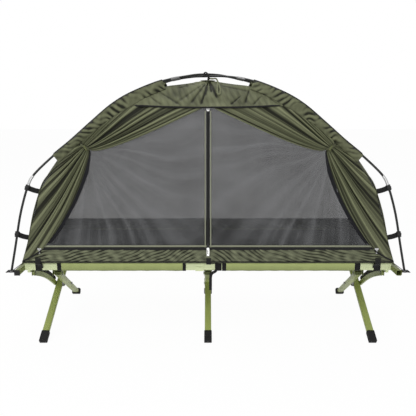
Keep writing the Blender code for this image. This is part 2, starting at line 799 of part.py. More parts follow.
def forked_leg(name, look, pivot):
    """The middle pair's rear-footed leg: two tubes joined by plates that straddle the other leg."""
    top, foot = leg_ends(0, 0, -1)
    along = (foot - top).normalized()
    crossing = top + (foot - top) * CROSS_SHARE
    slot = along * FORK_REACH
    made = tube(name, top - along * LEG_PAST_PIVOT, crossing - slot, LEG_WIDTH, LEG_DEPTH)
    reach = along * (FORK_REACH + FORK_LAP)
    matrix, length = frame_along(crossing - reach, crossing + reach)
    for side in SIDES:
        xs = sorted((side * (LEG_WIDTH / 2 - BITE), side * (LEG_WIDTH / 2 + FORK_PLATE)))
        half = LEG_DEPTH / 2 - TUBE_CORNER
        add(made, cutter_box(name, (xs[0], -half, -length / 2), (xs[1], half, length / 2), matrix))
    add(made, tube(name + "_lower", crossing + slot, foot, LEG_WIDTH, LEG_DEPTH, CUTTERS))
    bore_across(made, top, LEG_WIDTH)
    bore_across(made, crossing, LEG_WIDTH)
    return finish(made, look, pivot, smooth=False)


def foot_cap(name, top_x, foot_x, top_side, look, pivot):
    """A rubber boot on a leg's lower end, with a flat sole on the ground."""
    top, foot = leg_ends(top_x, foot_x, top_side)
    along = (foot - top).normalized()
    matrix, length = frame_along(foot - along * (CAP_LENGTH - CAP_TOE), foot + along * CAP_TOE)
    half_x, half_y = LEG_WIDTH / 2 + CAP_WALL, LEG_DEPTH / 2 + CAP_WALL
    low, high = (-half_x, -half_y, -length / 2), (half_x, half_y, length / 2)
    made = box(name, low, high, matrix=matrix, edge=CAP_ROUND)
    hole_x, hole_y = LEG_WIDTH / 2 + GAP, LEG_DEPTH / 2 + GAP
    deep = length / 2 - CAP_TOE + GAP
    cut(made, cutter_box(name, (-hole_x, -hole_y, -length / 2 - OVERRUN), (hole_x, hole_y, deep), matrix))
    low = (foot_x - CAP_LENGTH, foot.y - CAP_LENGTH, -CAP_LENGTH)
    cut(made, cutter_box(name, low, (foot_x + CAP_LENGTH, foot.y + CAP_LENGTH, 0)))
    return finish(made, look, pivot, smooth=False)


def bracket(name, x, y, inner_width, look, pivot):
    """A U of sheet steel under a rail, with the pin that is riveted through it."""
    top = RAIL_BOTTOM - GAP
    bottom = PIVOT_Z - BRACKET_BELOW_PIN
    half, outer = inner_width / 2, inner_width / 2 + PLATE
    loop = (
        (x - outer, bottom), (x - half, bottom), (x - half, top - PLATE), (x + half, top - PLATE),
        (x + half, bottom), (x + outer, bottom), (x + outer, top), (x - outer, top),
    )
    matrix = Matrix.Translation((0, y, 0)) @ Matrix.Rotation(pi / 2, 4, "X")
    made = slab(name, (loop,), BRACKET_LENGTH, matrix)
    add(made, pin(name + "_pin", x - outer, x + outer, y, PIVOT_Z, -BITE, CUTTERS))
    return finish(made, look, pivot)


def half_circle(centre, forward, radius):
    """The round end of an arm, from its left edge to its right."""
    turns = np.linspace(pi / 2, -pi / 2, ROUND_POINTS)[1:-1]
    return [
        (centre[0] + radius * (forward[0] * cos(a) - forward[1] * sin(a)),
         centre[1] + radius * (forward[0] * sin(a) + forward[1] * cos(a)))
        for a in turns
    ]


def brace_line():
    """The middle line of a front brace in its upright plane, (Y, Z), and its directions."""
    low, high = np.array((0.0, CROSS_Z)), np.array((-RAIL_SPREAD, PIVOT_Z))
    along = (high - low) / np.linalg.norm(high - low)
    normal = np.array((along[1], -along[0]))
    line = np.array([
        low + (high - low) * share + normal * BRACE_RISE * sin(pi * share)
        for share in np.linspace(0, 1, BRACE_POINTS)
    ])
    slopes = np.gradient(line, axis=0)
    return line, slopes / np.linalg.norm(slopes, axis=1)[:, None]


def upright_plane(x):
    """A frame that stands a flat outline of (Y, Z) points up, square to X."""
    return Matrix(((0, 0, 1, x), (1, 0, 0, 0), (0, 1, 0, 0), (0, 0, 0, 1)))


def brace(name, side, look, pivot):
    """A curved arm from an end crossing up to the front rail's pivot line."""
    line, slopes = brace_line()
    half = BRACE_DEPTH / 2
    edges = np.column_stack((-slopes[:, 1], slopes[:, 0])) * half
    loop = [tuple(p) for p in line + edges]
    loop += half_circle(line[-1], slopes[-1], half)
    loop += [tuple(p) for p in (line - edges)[::-1]]
    loop += half_circle(line[0], -slopes[0], half)
    made = slab(name, (loop,), BRACE_THICKNESS, upright_plane(side * BRACE_X))
    bore_across(made, (side * BRACE_X, 0, CROSS_Z), BRACE_THICKNESS)
    bore_across(made, (side * BRACE_X, -RAIL_SPREAD, PIVOT_Z), BRACE_THICKNESS)
    return finish(made, look, pivot)


def brace_strap(side, look, pivot):
    """The padded strap that runs down the upper edge of a brace."""
    line, slopes = brace_line()
    first, last = BRACE_STRAP_STEPS
    line, slopes = line[first:last], slopes[first:last]
    upper = np.column_stack((slopes[:, 1], -slopes[:, 0]))
    low = line + upper * (BRACE_DEPTH / 2 + BRACE_STRAP_ROOM)
    high = line + upper * (BRACE_DEPTH / 2 + BRACE_STRAP_ROOM + BRACE_STRAP)
    loop = [tuple(p) for p in low] + [tuple(p) for p in high[::-1]]
    inner = BRACE_X - BRACE_THICKNESS / 2
    made = slab(
        "brace_strap_" + SIDE_NAMES[side], (loop,), BRACE_STRAP_WIDTH,
        upright_plane(side * (inner + BRACE_STRAP_WIDTH / 2)),
    )
    return finish(made, look, pivot)


def rail(name, x_side, y_side, look, pivot):
    """Half of a side rail, with the plug and knob in its outer end; the left half carries the spigot."""
    y = y_side * RAIL_SPREAD
    xs = sorted((x_side * RAIL_REACH, SPLIT_X + x_side * GAP / 2))
    made = tube(name, (xs[0], y, RAIL_MIDDLE), (xs[1], y, RAIL_MIDDLE), RAIL_WIDTH, RAIL_HEIGHT)
    half_y, half_z = RAIL_WIDTH / 2 - TUBE_WALL, RAIL_HEIGHT / 2 - TUBE_WALL
    plug = sorted((x_side * RAIL_REACH - x_side * BITE, x_side * (RAIL_REACH - PLUG_DEPTH)))
    add(made, inside_rail(name, plug, y, half_y + BITE, half_z + BITE))
    if x_side < 0:
        root = (SPLIT_X - SPIGOT_ROOT, SPLIT_X - GAP)
        add(made, inside_rail(name, root, y, half_y + BITE, half_z + BITE))
        spigot = (SPLIT_X - SPIGOT_ROOT / 2, SPLIT_X + SPIGOT_REACH)
        add(made, inside_rail(name, spigot, y, half_y - CORE_ROOM, half_z - CORE_ROOM))
        hollow = (root[0] - OVERRUN, spigot[1] + OVERRUN)
        cut(made, inside_rail(name, hollow, y, half_y - SPIGOT_WALL, half_z - SPIGOT_WALL))
    x = x_side * (RAIL_REACH - KNOB_IN_FROM_END)
    knob = ((x, y, RAIL_BOTTOM - KNOB_HEIGHT), (x, y, RAIL_BOTTOM + TUBE_WALL / 2))
    add(made, rod("knob", knob[0], knob[1], KNOB_RADIUS, PIN_STEPS, CUTTERS))
    return finish(made, look, pivot, smooth=False)


def inside_rail(name, xs, y, half_y, half_z):
    """A block inside a rail's tube."""
    low = (xs[0], y - half_y, RAIL_MIDDLE - half_z)
    return cutter_box(name, low, (xs[1], y + half_y, RAIL_MIDDLE + half_z))


def hinge_plate(name, y_side, look, pivot):
    """The plate round a rail's underside beside its split."""
    y = y_side * RAIL_SPREAD
    inner, outer = RAIL_WIDTH / 2 + GAP, RAIL_WIDTH / 2 + GAP + PLATE
    bottom = RAIL_BOTTOM - GAP
    loop = (
        (y - outer, RAIL_MIDDLE), (y - outer, bottom - PLATE), (y + outer, bottom - PLATE),
        (y + outer, RAIL_MIDDLE), (y + inner, RAIL_MIDDLE), (y + inner, bottom), (y - inner, bottom),
        (y - inner, RAIL_MIDDLE),
    )
    x = SPLIT_X - HINGE_PLATE_START - HINGE_PLATE_REACH / 2
    return finish(slab(name, (loop,), HINGE_PLATE_REACH, upright_plane(x)), look, pivot, smooth=False)


def strap(name, x, look, pivot):
    """Webbing once round the front rail, with the tab that goes up the front of the tent's floor edge."""
    grow = 2 * GAP + 2 * STRAP
    outer = rounded(RAIL_WIDTH + grow, RAIL_HEIGHT + grow, TUBE_CORNER + STRAP)
    inner = rounded(RAIL_WIDTH + 2 * GAP, RAIL_HEIGHT + 2 * GAP, TUBE_CORNER)
    matrix = Matrix.Translation((0, -RAIL_SPREAD, RAIL_MIDDLE)) @ upright_plane(x)
    made = slab(name, (outer, inner), STRAP_WIDTH, matrix)
    face = RAIL_SPREAD + RAIL_WIDTH / 2 + GAP + STRAP
    edge = SIDE_SHARE * seam_x(PANEL_FOOT) + PANEL_GAP
    top = FLOOR_BOTTOM + TAB_RISE
    path = (
        (face - STRAP / 2, RAIL_MIDDLE), (edge, FLOOR_BOTTOM - TAB_UNDER), (edge, PANEL_FOOT),
        (SIDE_SHARE * seam_x(top) + PANEL_GAP, top),
    )

    def place(across, up):
        y, z = path[round(up * (len(path) - 1))]
        return (x + (across - 0.5) * (STRAP_WIDTH - SEWN_LAP), -y, z)
    add(made, sheet("tab", place, 1, len(path) - 1, STRAP, 1, CUTTERS))
    if x == MIDDLE_STRAP_X:
        add(made, strap_tail(face - STRAP / 3 + STRAP / 2))
    return finish(made, look, pivot, smooth=False)


def strap_tail(y):
    """The loose end of the middle strap, which hangs beside the middle leg."""
    half = TAIL_WIDTH / 2
    near = MIDDLE_STRAP_X - STRAP_WIDTH / 2
    loop = (
        (near + SEWN_LAP, RAIL_MIDDLE), (near + TAIL_WIDTH, RAIL_MIDDLE), (TAIL_X + half, TAIL_BEND),
        (TAIL_X + half, TAIL_FOOT), (TAIL_X - half, TAIL_FOOT), (TAIL_X - half, TAIL_BEND),
    )
    matrix = Matrix.Translation((0, -y, 0)) @ Matrix.Rotation(pi / 2, 4, "X")
    return slab("tail", (loop,), STRAP, matrix, CUTTERS)


def canvas(look, pivot):
    """The bed: a sheet over the rails, with sleeves round them and a pocket round each end bar."""
    outer_y = RAIL_SPREAD + RAIL_WIDTH / 2 + GAP + CANVAS
    inner_y = RAIL_SPREAD - RAIL_WIDTH / 2 - GAP - CANVAS
    reach = BAR_X + BAR_SIZE / 2 + GAP + CANVAS
    made = box("bed_canvas", (-reach, -inner_y, CANVAS_BOTTOM), (reach, inner_y, CANVAS_TOP))
    stretches = (
        (-SLEEVE_OUTER_END, SPLIT_X - SLEEVE_CUT_HALF), (SPLIT_X + SLEEVE_CUT_HALF, SLEEVE_OUTER_END),
    )
    bottom = RAIL_BOTTOM - GAP - CANVAS
    for side in SIDES:
        for low_x, high_x in stretches:
            ys = sorted((side * (inner_y - SEWN_LAP), side * outer_y))
            corners = ((low_x, ys[0], bottom), (high_x, ys[1], CANVAS_TOP))
            cut(made, cutter_box("rail_sleeve", *corners), "UNION")
        hole_y = RAIL_WIDTH / 2 + GAP
        low = (-RAIL_REACH, side * RAIL_SPREAD - hole_y, RAIL_BOTTOM - GAP)
        cut(made, cutter_box("rail_bore", low, (RAIL_REACH, side * RAIL_SPREAD + hole_y, CANVAS_BOTTOM)))
        hole = BAR_SIZE / 2 + GAP
        xs = sorted((side * (BAR_X - hole - CANVAS), side * reach))
        pocket_y = inner_y - STRAP_WIDTH
        low = (xs[0], -pocket_y, BAR_CENTRE_Z - hole - CANVAS)
        cut(made, cutter_box("bar_pocket", low, (xs[1], pocket_y, CANVAS_TOP)), "UNION")
        low = (side * BAR_X - hole, -BAR_REACH, BAR_CENTRE_Z - hole)
        cut(made, cutter_box("bar_bore", low, (side * BAR_X + hole, BAR_REACH, CANVAS_BOTTOM)))
    return finish(made, look, pivot, smooth=False)


def end_bar(side, look, cap_look, pivot):
    """A square bar across the bed's end, with a cap at one of its ends."""
    x = side * BAR_X
    low_y = -BAR_REACH + (BAR_CAP if side < 0 else 0)
    high_y = BAR_REACH - (BAR_CAP if side > 0 else 0)
    ends = ((x, low_y, BAR_CENTRE_Z), (x, high_y, BAR_CENTRE_Z))
    bar = tube("end_bar_" + SIDE_NAMES[side], *ends, BAR_SIZE, BAR_SIZE)
    finish(bar, look, pivot, smooth=False)
    half = BAR_SIZE / 2
    ys = sorted((side * BAR_REACH, side * (BAR_REACH - BAR_CAP + GAP)))
    low, high = (x - half, ys[0], BAR_CENTRE_Z - half), (x + half, ys[1], BAR_CENTRE_Z + half)
    cap = box("end_bar_cap_" + SIDE_NAMES[side], low, high)
    inner = half - TUBE_WALL - CORE_ROOM
    ys = sorted((side * (BAR_REACH - BAR_CAP / 2), side * (BAR_REACH - BAR_CAP - BAR_PLUG)))
    low, high = (x - inner, ys[0], BAR_CENTRE_Z - inner), (x + inner, ys[1], BAR_CENTRE_Z + inner)
    cut(cap, cutter_box("cap_core", low, high), "UNION")
    return finish(cap, cap_look, pivot, smooth=False)


def zip_tapes(look, pivot):
    """The closed zips: one along the foot of the door and one up its middle."""
    def along_the_foot(across, up):
        front = SIDE_SHARE * seam_x(BAND_TOP - TAPE_WIDTH / 2) + GAP
        return ((2 * across - 1) * TAPE_REACH, -front, BAND_TOP + (up - 0.5) * TAPE_WIDTH)

    def up_the_middle(across, up):
        z = BAND_TOP + (HOOD_EDGE - TAPE_WIDTH - BAND_TOP) * up
        return ((across - 0.5) * TAPE_WIDTH, -door_depth(z) - 2 * GAP, z)
    made = sheet("zip_tapes", along_the_foot, 2, 1, TAPE)
    add(made, sheet("middle_tape", up_the_middle, 1, 1, TAPE, 1, CUTTERS))
    return finish(made, look, pivot, smooth=False)


def zip_slider(name, x, upright, look, pivot):
    """A slider with its pull, on the face of a zip."""
    if upright:
        z = BAND_TOP + TAPE_WIDTH / 2 + PANEL_GAP + SLIDER_LENGTH / 2
        front = door_depth(z) + 4 * GAP + TAPE
        long_x, long_z = SLIDER_WIDTH, SLIDER_LENGTH
        lean = atan2(door_depth(BAND_TOP) - door_depth(HOOD_EDGE), HOOD_EDGE - BAND_TOP)
    else:
        z = BAND_TOP
        front = SIDE_SHARE * seam_x(BAND_TOP - TAPE_WIDTH / 2) + 2 * GAP + TAPE
        long_x, long_z = SLIDER_LENGTH, SLIDER_WIDTH
        lean = 0
    matrix = Matrix.Translation((x, -front, z)) @ Matrix.Rotation(-lean, 4, "X")
    low, high = (-long_x / 2, -SLIDER_DEPTH, -long_z / 2), (long_x / 2, 0, long_z / 2)
    body = box(name, low, high, matrix=matrix, edge=SLIDER_ROUND)
    low = (-PULL_WIDTH / 2, -SLIDER_DEPTH - PULL, -PULL_LENGTH)
    high = (PULL_WIDTH / 2, -SLIDER_DEPTH + SLIDER_ROUND, long_z / 2 - SLIDER_ROUND)
    cut(body, cutter_box(name + "_pull", low, high, matrix), "UNION")
    return finish(body, look, pivot, smooth=False)


def upper_strand(across):
    """Both ends of a fold of a flap's upper lobe: near the tie, and on the hood's edge or the sleeve."""
    near = (TIE_X - FLAP_GATHER * (1 - across), TIE_Z + FLAP_PINCH + FLAP_GATHER * across)
    turn = FLAP_CORNER_SHARE
    if across < turn:
        corner = seam_x(FLAP_HEAD) - FLAP_SEAM_BACK
        return near, (FLAP_HEAD_X + (corner - FLAP_HEAD_X) * across / turn, FLAP_HEAD)
    z = FLAP_HEAD + (TIE_Z + FLAP_MEET - FLAP_HEAD) * (across - turn) / (1 - turn)
    return near, (seam_x(z) - FLAP_SEAM_BACK, z)


def lower_strand(across):
    """Both ends of a fold of a flap's lower lobe: near the tie, and on the band's edge or the seam."""
    near = (TIE_X - FLAP_GATHER / 2 * (1 - across), TIE_Z - FLAP_PINCH)
    turn = FLAP_CORNER_SHARE
    if across < turn:
        corner = seam_x(FLAP_FOOT) - FLAP_SEAM_BACK
        return near, (FLAP_FOOT_X + (corner - FLAP_FOOT_X) * across / turn, FLAP_FOOT)
    z = FLAP_FOOT + (TIE_Z - FLAP_MEET - FLAP_FOOT) * (across - turn) / (1 - turn)
    return near, (seam_x(z) - FLAP_SEAM_BACK, z)


def upper_flap(side):
    """The upper lobe: folds that fan out from the tie to the hood and the sleeve."""
    def place(across, along, lift):
        near, far = upper_strand(across)
        sag = FLAP_SAG * (1 - across) ** 2 * sin(pi * along)
        x = near[0] + (far[0] - near[0]) * along
        z = near[1] + (far[1] - near[1]) * along - sag
        return door_point(side * x, z, -1, fold_lift(across, along) + lift)
    return thick_sheet("door_flap_" + SIDE_NAMES[side], place, FLAP_ACROSS, FLAP_ALONG, FLAP_CLOTH)


def lower_flap(side):
    """The lower lobe: folds that fan out from the tie to the band and the seam."""
    def place(across, along, lift):
        near, far = lower_strand(across)
        bow = FLAP_BOW * (1 - across) ** 2 * sin(pi * along)
        x = near[0] + (far[0] - near[0]) * along - bow
        z = near[1] + (far[1] - near[1]) * along
        return door_point(side * x, z, -1, fold_lift(across, along) + lift)
    return thick_sheet("lower_flap", place, FLAP_ACROSS, FLAP_ALONG, FLAP_CLOTH, CUTTERS)


def fold_lift(across, along):
    """How far a flap stands off the door: folds that run from the tie and die out at its sewn edges."""
    fold = (1 + cos(2 * pi * FLAP_FOLDS * across)) / 2
    swell = FLAP_TIE_SWELL + (1 - FLAP_TIE_SWELL) * sin(pi * along)
    return FLAP_LIFT + FLAP_FOLD_HEIGHT * fold * swell


def door_flap(side, look, pivot):
    """A door flap drawn back in two fans of folds, with the toggle that holds it."""
    made = upper_flap(side)
    add(made, lower_flap(side))
    low = (-TIE_WIDTH / 2, -TIE_ROOM - TIE_DEPTH, -TIE_HEIGHT / 2)
    high = (TIE_WIDTH / 2, -TIE_ROOM, TIE_HEIGHT / 2)
    add(made, cutter_box("toggle", low, high, on_the_door(side * TIE_X, TIE_Z)))
    return finish(made, look, pivot)


def on_the_door(x, z):
    """A frame on the front of the door: X and Z along its surface, Y into the tent."""
    place = Vector(door_point(x, z, -1))
    across = (Vector(door_point(x + SLOPE_STEP, z, -1)) - place).normalized()
    up = (Vector(door_point(x, z + SLOPE_STEP, -1)) - place).normalized()
    inward = up.cross(across).normalized()
    matrix = Matrix((across, inward, across.cross(inward))).transposed().to_4x4()
    matrix.translation = place
    return matrix


def build_looks():
    return {
        "paint": material("olive_paint", OLIVE_PAINT, 0.42, 0.0),
        "cloth": material("olive_cloth", OLIVE_CLOTH, 0.85),
        "canvas": material("canvas", CANVAS_GREEN, 0.9),
        "plastic": material("black_plastic", BLACK, 0.5),
        "rubber": material("black_rubber", BLACK, 0.8),
        "webbing": material("black_webbing", BLACK, 0.9),
        "steel": material("dark_steel", STEEL, 0.35, 1.0),
        "net": material("grey_net", NET, 0.9),
        "pole": material("black_pole", BLACK, 0.35),
        "silver": material("silver", SILVER, 0.3, 1.0),
    }


def build_base(looks, base):
    """The rear-footed legs, and what stays with them."""
    for side in SIDES:
        name = SIDE_NAMES[side]
        leg("rear_foot_leg_" + name, side * INNER_LEG_X, side * OUTER_LEG_X, -1, looks["paint"], base)
        foot_cap("rear_foot_" + name, side * INNER_LEG_X, side * OUTER_LEG_X, -1, looks["rubber"], base)
        brace("front_brace_" + name, side, looks["paint"], base)
        brace_strap(side, looks["webbing"], base)
        cross_bolt(side, looks["steel"], base)
    forked_leg("rear_foot_leg_middle", looks["paint"], base)
    foot_cap("rear_foot_middle", 0, 0, -1, looks["rubber"], base)
    half = LEG_WIDTH / 2 + FORK_PLATE
    finish(pin("cross_bolt_middle", -half, half, 0, CROSS_Z), looks["steel"], base)


def cross_bolt(side, look, pivot):
    """The bolt through an end pair and its brace, with the block that keeps the legs apart."""
    inner = CROSS_LEG_X - LEG_WIDTH / 2 - SLANT_ROOM
    xs = sorted((side * inner, side * (BRACE_X + BRACE_THICKNESS / 2)))
    made = pin("cross_bolt_" + SIDE_NAMES[side], xs[0], xs[1], 0, CROSS_Z)
    near = CROSS_LEG_X + LEG_WIDTH / 2 + SLANT_ROOM
    xs = sorted((side * near, side * (OUTER_LEG_X - LEG_WIDTH / 2 - GAP)))
    half = SPACER_HEIGHT / 2
    low, high = (xs[0], -half, CROSS_Z - half), (xs[1], half, CROSS_Z + half)
    add(made, cutter_box("spacer", low, high))
    return finish(made, look, pivot)


def build_front_feet(looks, frame):
    """The front-footed legs."""
    for side, x in ((-1, -OUTER_LEG_X), (0, 0), (1, OUTER_LEG_X)):
        width = LEG_WIDTH if side else LEG_WIDTH - MIDDLE_PLAY
        leg("front_foot_leg_" + SIDE_NAMES[side], x, x, 1, looks["paint"], frame, width)
        foot_cap("front_foot_" + SIDE_NAMES[side], x, x, 1, looks["rubber"], frame)


def build_rail(looks, y_side, pivot):
    """One side rail: its two halves, and everything that is fixed to it."""
    end = "front_" if y_side < 0 else "rear_"
    y = y_side * RAIL_SPREAD
    plain = LEG_WIDTH + 2 * BRACKET_SIDE_GAP
    bracket(end + "bracket_middle", 0, y, plain, looks["steel"], pivot)
    hinge_plate(end + "hinge_plate", y_side, looks["plastic"], pivot)
    for side in SIDES:
        name = SIDE_NAMES[side]
        rail(end + "rail_" + name, side, y_side, looks["paint"], pivot)
        if y_side > 0:
            bracket(end + "bracket_" + name, side * OUTER_LEG_X, y, plain, looks["steel"], pivot)
            continue
        wide = plain + 2 * SLANT_ROOM
        bracket(end + "bracket_" + name, side * INNER_LEG_X, y, wide, looks["steel"], pivot)
        narrow = BRACE_THICKNESS + 2 * BRACKET_SIDE_GAP
        bracket("brace_bracket_" + name, side * BRACE_X, y, narrow, looks["steel"], pivot)
        strap("strap_" + name, side * END_STRAP_X, looks["webbing"], pivot)
    if y_side < 0:
        strap("strap_middle", MIDDLE_STRAP_X, looks["webbing"], pivot)


def build_tent(looks, tent):
    """The poles, the fabric, and everything sewn or clipped to them."""
    for name, which in (("one", 1), ("two", -1)):
        pole("pole_" + name, which, looks["pole"], tent)
    tent_tub(looks["cloth"], tent)
    for side, name in ((-1, "front"), (1, "rear")):
        finish(door_panel(name + "_hood", HOOD_EDGE + PANEL_GAP / 2, TOP_Z, side), looks["cloth"], tent)
        net_foot = BAND_TOP + PANEL_GAP / 2
        net_head = HOOD_EDGE - PANEL_GAP / 2
        made = door_panel(name + "_mesh", net_foot, net_head, side, MESH_COLUMNS)
        finish(made, looks["net"], tent)
    for side in SIDES:
        end_wall(side, looks["cloth"], tent)
        door_flap(side, looks["cloth"], tent)
        for y_side in SIDES:
            corner_tab(side, y_side, looks["webbing"], tent)
    zip_tapes(looks["webbing"], tent)
    sliders = (("middle", 0, True), ("left", -SLIDER_START_X, False), ("right", SLIDER_START_X, False))
    for name, x, upright in sliders:
        holder = empty("zip_" + name + "_slide", (x, 0, BAND_TOP), tent)
        zip_slider("zip_slider_" + name, x, upright, looks["silver"], holder)


def build():
    looks = build_looks()
    base = empty("base", (0, 0, CROSS_Z))
    frame = empty("front_foot_pivot", (0, 0, CROSS_Z), base)
    front = empty("front_rail_pivot", (0, -RAIL_SPREAD, PIVOT_Z), base)
    rear = empty("rear_rail_pivot", (0, RAIL_SPREAD, PIVOT_Z), frame)
    tent = empty("tent_seat", (0, 0, FLOOR_BOTTOM), base)
    build_base(looks, base)
    build_front_feet(looks, frame)
    build_rail(looks, -1, front)
    build_rail(looks, 1, rear)
    canvas(looks["canvas"], front)
    for side in SIDES:
        seat = empty("end_bar_seat_" + SIDE_NAMES[side], (side * BAR_X, 0, BAR_CENTRE_Z), base)
        end_bar(side, looks["paint"], looks["plastic"], seat)
    build_tent(looks, tent)


build()
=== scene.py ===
import bmesh
import bpy
import numpy as np
from math import radians
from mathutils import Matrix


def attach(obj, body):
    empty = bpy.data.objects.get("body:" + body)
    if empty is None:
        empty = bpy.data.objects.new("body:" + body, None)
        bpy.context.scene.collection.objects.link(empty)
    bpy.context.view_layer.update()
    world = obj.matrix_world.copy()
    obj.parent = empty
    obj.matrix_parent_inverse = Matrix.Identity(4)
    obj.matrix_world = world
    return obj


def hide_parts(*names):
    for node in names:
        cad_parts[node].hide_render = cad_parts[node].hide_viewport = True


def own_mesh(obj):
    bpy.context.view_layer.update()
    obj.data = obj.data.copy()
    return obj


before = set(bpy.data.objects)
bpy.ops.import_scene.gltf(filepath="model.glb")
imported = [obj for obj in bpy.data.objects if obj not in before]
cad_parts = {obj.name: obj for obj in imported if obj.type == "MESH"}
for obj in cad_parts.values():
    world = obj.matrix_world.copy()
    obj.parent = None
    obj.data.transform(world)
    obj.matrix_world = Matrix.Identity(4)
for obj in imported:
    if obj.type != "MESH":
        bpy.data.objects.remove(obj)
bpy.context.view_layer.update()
print("frame loaded")

# where the tent stands, in metres: the same line of poles and seams as the solids have
tent = {
    "tipX": 0.939, "tipY": 0.365, "tipZ": 0.4012, "topZ": 1.319, "crossLift": 0.0048, "crossWide": 0.10,
    "floorBottom": 0.4224, "panelFoot": 0.4249, "bandTop": 0.502, "rearBandTop": 0.481, "hoodEdge": 1.166,
    "doorTop": 0.1768, "tieX": 0.583, "tieZ": 0.976, "wall": 0.0012,
    # the pole's line: shares of its reach and of its height over the tips
    "poleShares": (
        (1.000, 0.000), (0.973, 0.130), (0.946, 0.266), (0.925, 0.350), (0.899, 0.432), (0.868, 0.494),
        (0.778, 0.585), (0.689, 0.662), (0.590, 0.754), (0.490, 0.842), (0.389, 0.904), (0.238, 0.966),
        (0.090, 0.995), (0.000, 1.000),
    ),
    # how far inside the pole the seams stand, and the end walls between their seams, at shares of the reach
    "seamAt": (0, 0.05, 0.10, 0.16, 0.222, 0.50, 0.775, 0.905, 0.967, 1),
    "seamDrops": (0.025, 0.0335, 0.037, 0.036, 0.031, 0.028, 0.040, 0.054, 0.050, 0.036),
    "wallAt": (0, 0.05, 0.10, 0.16, 0.222, 0.320, 0.50, 0.775, 0.905, 0.967, 1),
    "wallDrops": (0.025, 0.0335, 0.037, 0.036, 0.033, 0.0110, 0.0105, 0.0105, 0.054, 0.050, 0.036),
}
cot = {
    "railTop": 0.420, "railHeight": 0.036, "railWidth": 0.024, "railY": 0.305,
    "barX": 0.9068, "barZ": 0.3965, "barSize": 0.027, "crossZ": 0.19289, "pivotZ": 0.367,
}
sides = ((-1, "left"), (1, "right"))  # along X
faces = ((-1, "front"), (1, "rear"))  # along Y
corners = [(xSide, ySide, xName, yName) for xSide, xName in sides for ySide, yName in faces]
fullTurn = 6.283  # radians from one wave of a relief to the next
plainRelief = 0.36  # of pieces without folds
leastArea = 0.302  # share of width x length that a sheet's declared area has at least


# shapes: arrays of points, and the meshes made of them

def xyz(x, y, z):
    # points from three coordinates, each an array or one number
    return np.stack(np.broadcast_arrays(x, y, z), -1)


def unit(ways):
    # directions, each divided by its length
    return ways / np.linalg.norm(ways, axis=-1)[..., None]


def bell(distance, width):
    # bell curve: 1 in the middle, a third at the width
    return np.exp(-(distance / width) ** 2)


def humps(phase):
    # a row of round humps from 0 to 1
    return 0.5 + 0.5 * np.cos(phase)


def fadeOut(share, width):
    # 0 at a panel's two edges and 1 inside
    return np.clip(np.minimum(share, 1 - share) / width, 0, 1)


def fadeGrid(columns, rows, sideWidth, endWidth):
    # 0 at all four edges of a grid and 1 inside
    across, up = np.linspace(0, 1, columns), np.linspace(0, 1, rows)
    return fadeOut(across, sideWidth)[None] * fadeOut(up, endWidth)[:, None]


def arcLength(line):
    # distance along a line of points, from its first one
    return np.concatenate(([0], np.cumsum(np.linalg.norm(np.diff(line, axis=0), axis=1))))


def evenly(points, count):
    # points at even steps along a line of straight pieces
    points = np.asarray(points, float)
    run = arcLength(points)
    even = np.linspace(0, run[-1], count)
    return np.column_stack([np.interp(even, run, column) for column in points.T])


def smoothThrough(points, count):
    # cubic curve through the points (each span from its four nearest), at even steps along its length
    points = np.asarray(points, float)
    padded = np.vstack((2 * points[0] - points[1], points, 2 * points[-1] - points[-2]))
    t = np.linspace(0, 1, 16, endpoint=False)[:, None]
    spans = [
        (2 * b + (c - a) * t + (2 * a - 5 * b + 4 * c - d) * t ** 2 + (3 * b - a - 3 * c + d) * t ** 3) / 2
        for a, b, c, d in zip(padded, padded[1:], padded[2:], padded[3:])
    ]
    return evenly(np.vstack(spans + [points[-1:]]), count)


def waves(x, y, length, seed, octaves=3):
    # soft random relief, about -1 to 1: sines in random directions, each octave half as long and as high
    draw = np.random.default_rng(seed)
    total = np.zeros(np.broadcast(x, y).shape)
    for octave in range(octaves):
        draws = draw.uniform(0, 6.28, 4), draw.uniform(0, 6.28, 4), draw.uniform(0.7, 1.4, 4)
        for turn, phase, stretch in zip(*draws):
            k = fullTurn / length * 2 ** octave * stretch
            total += np.sin(k * (x * np.cos(turn) + y * np.sin(turn)) + phase) / 2 ** octave
    return total / 4


def creases(x, z, lines):
    # valleys along straight lines (x, z to x, z, width, depth): a bell curve of the distance to each line
    total = 0 * x * z
    for x0, z0, x1, z1, width, depth in lines:
        length = np.hypot(x1 - x0, z1 - z0)
        along = ((x - x0) * (x1 - x0) + (z - z0) * (z1 - z0)) / length ** 2
        away = ((x - x0) * (z1 - z0) - (z - z0) * (x1 - x0)) / length
        spread = width * (0.35 + 0.65 * np.clip(along, 0, 1))
        ends = np.clip(np.minimum(along, 1 - along) / 0.2 + 0.25, 0, 1)
        total = total + depth * bell(away, spread) * ends
    return total


def cells(grid):
    # the four corners of each cell of a grid, in turn
    return np.stack((grid[:-1, :-1], grid[:-1, 1:], grid[1:, 1:], grid[1:, :-1]), 2)


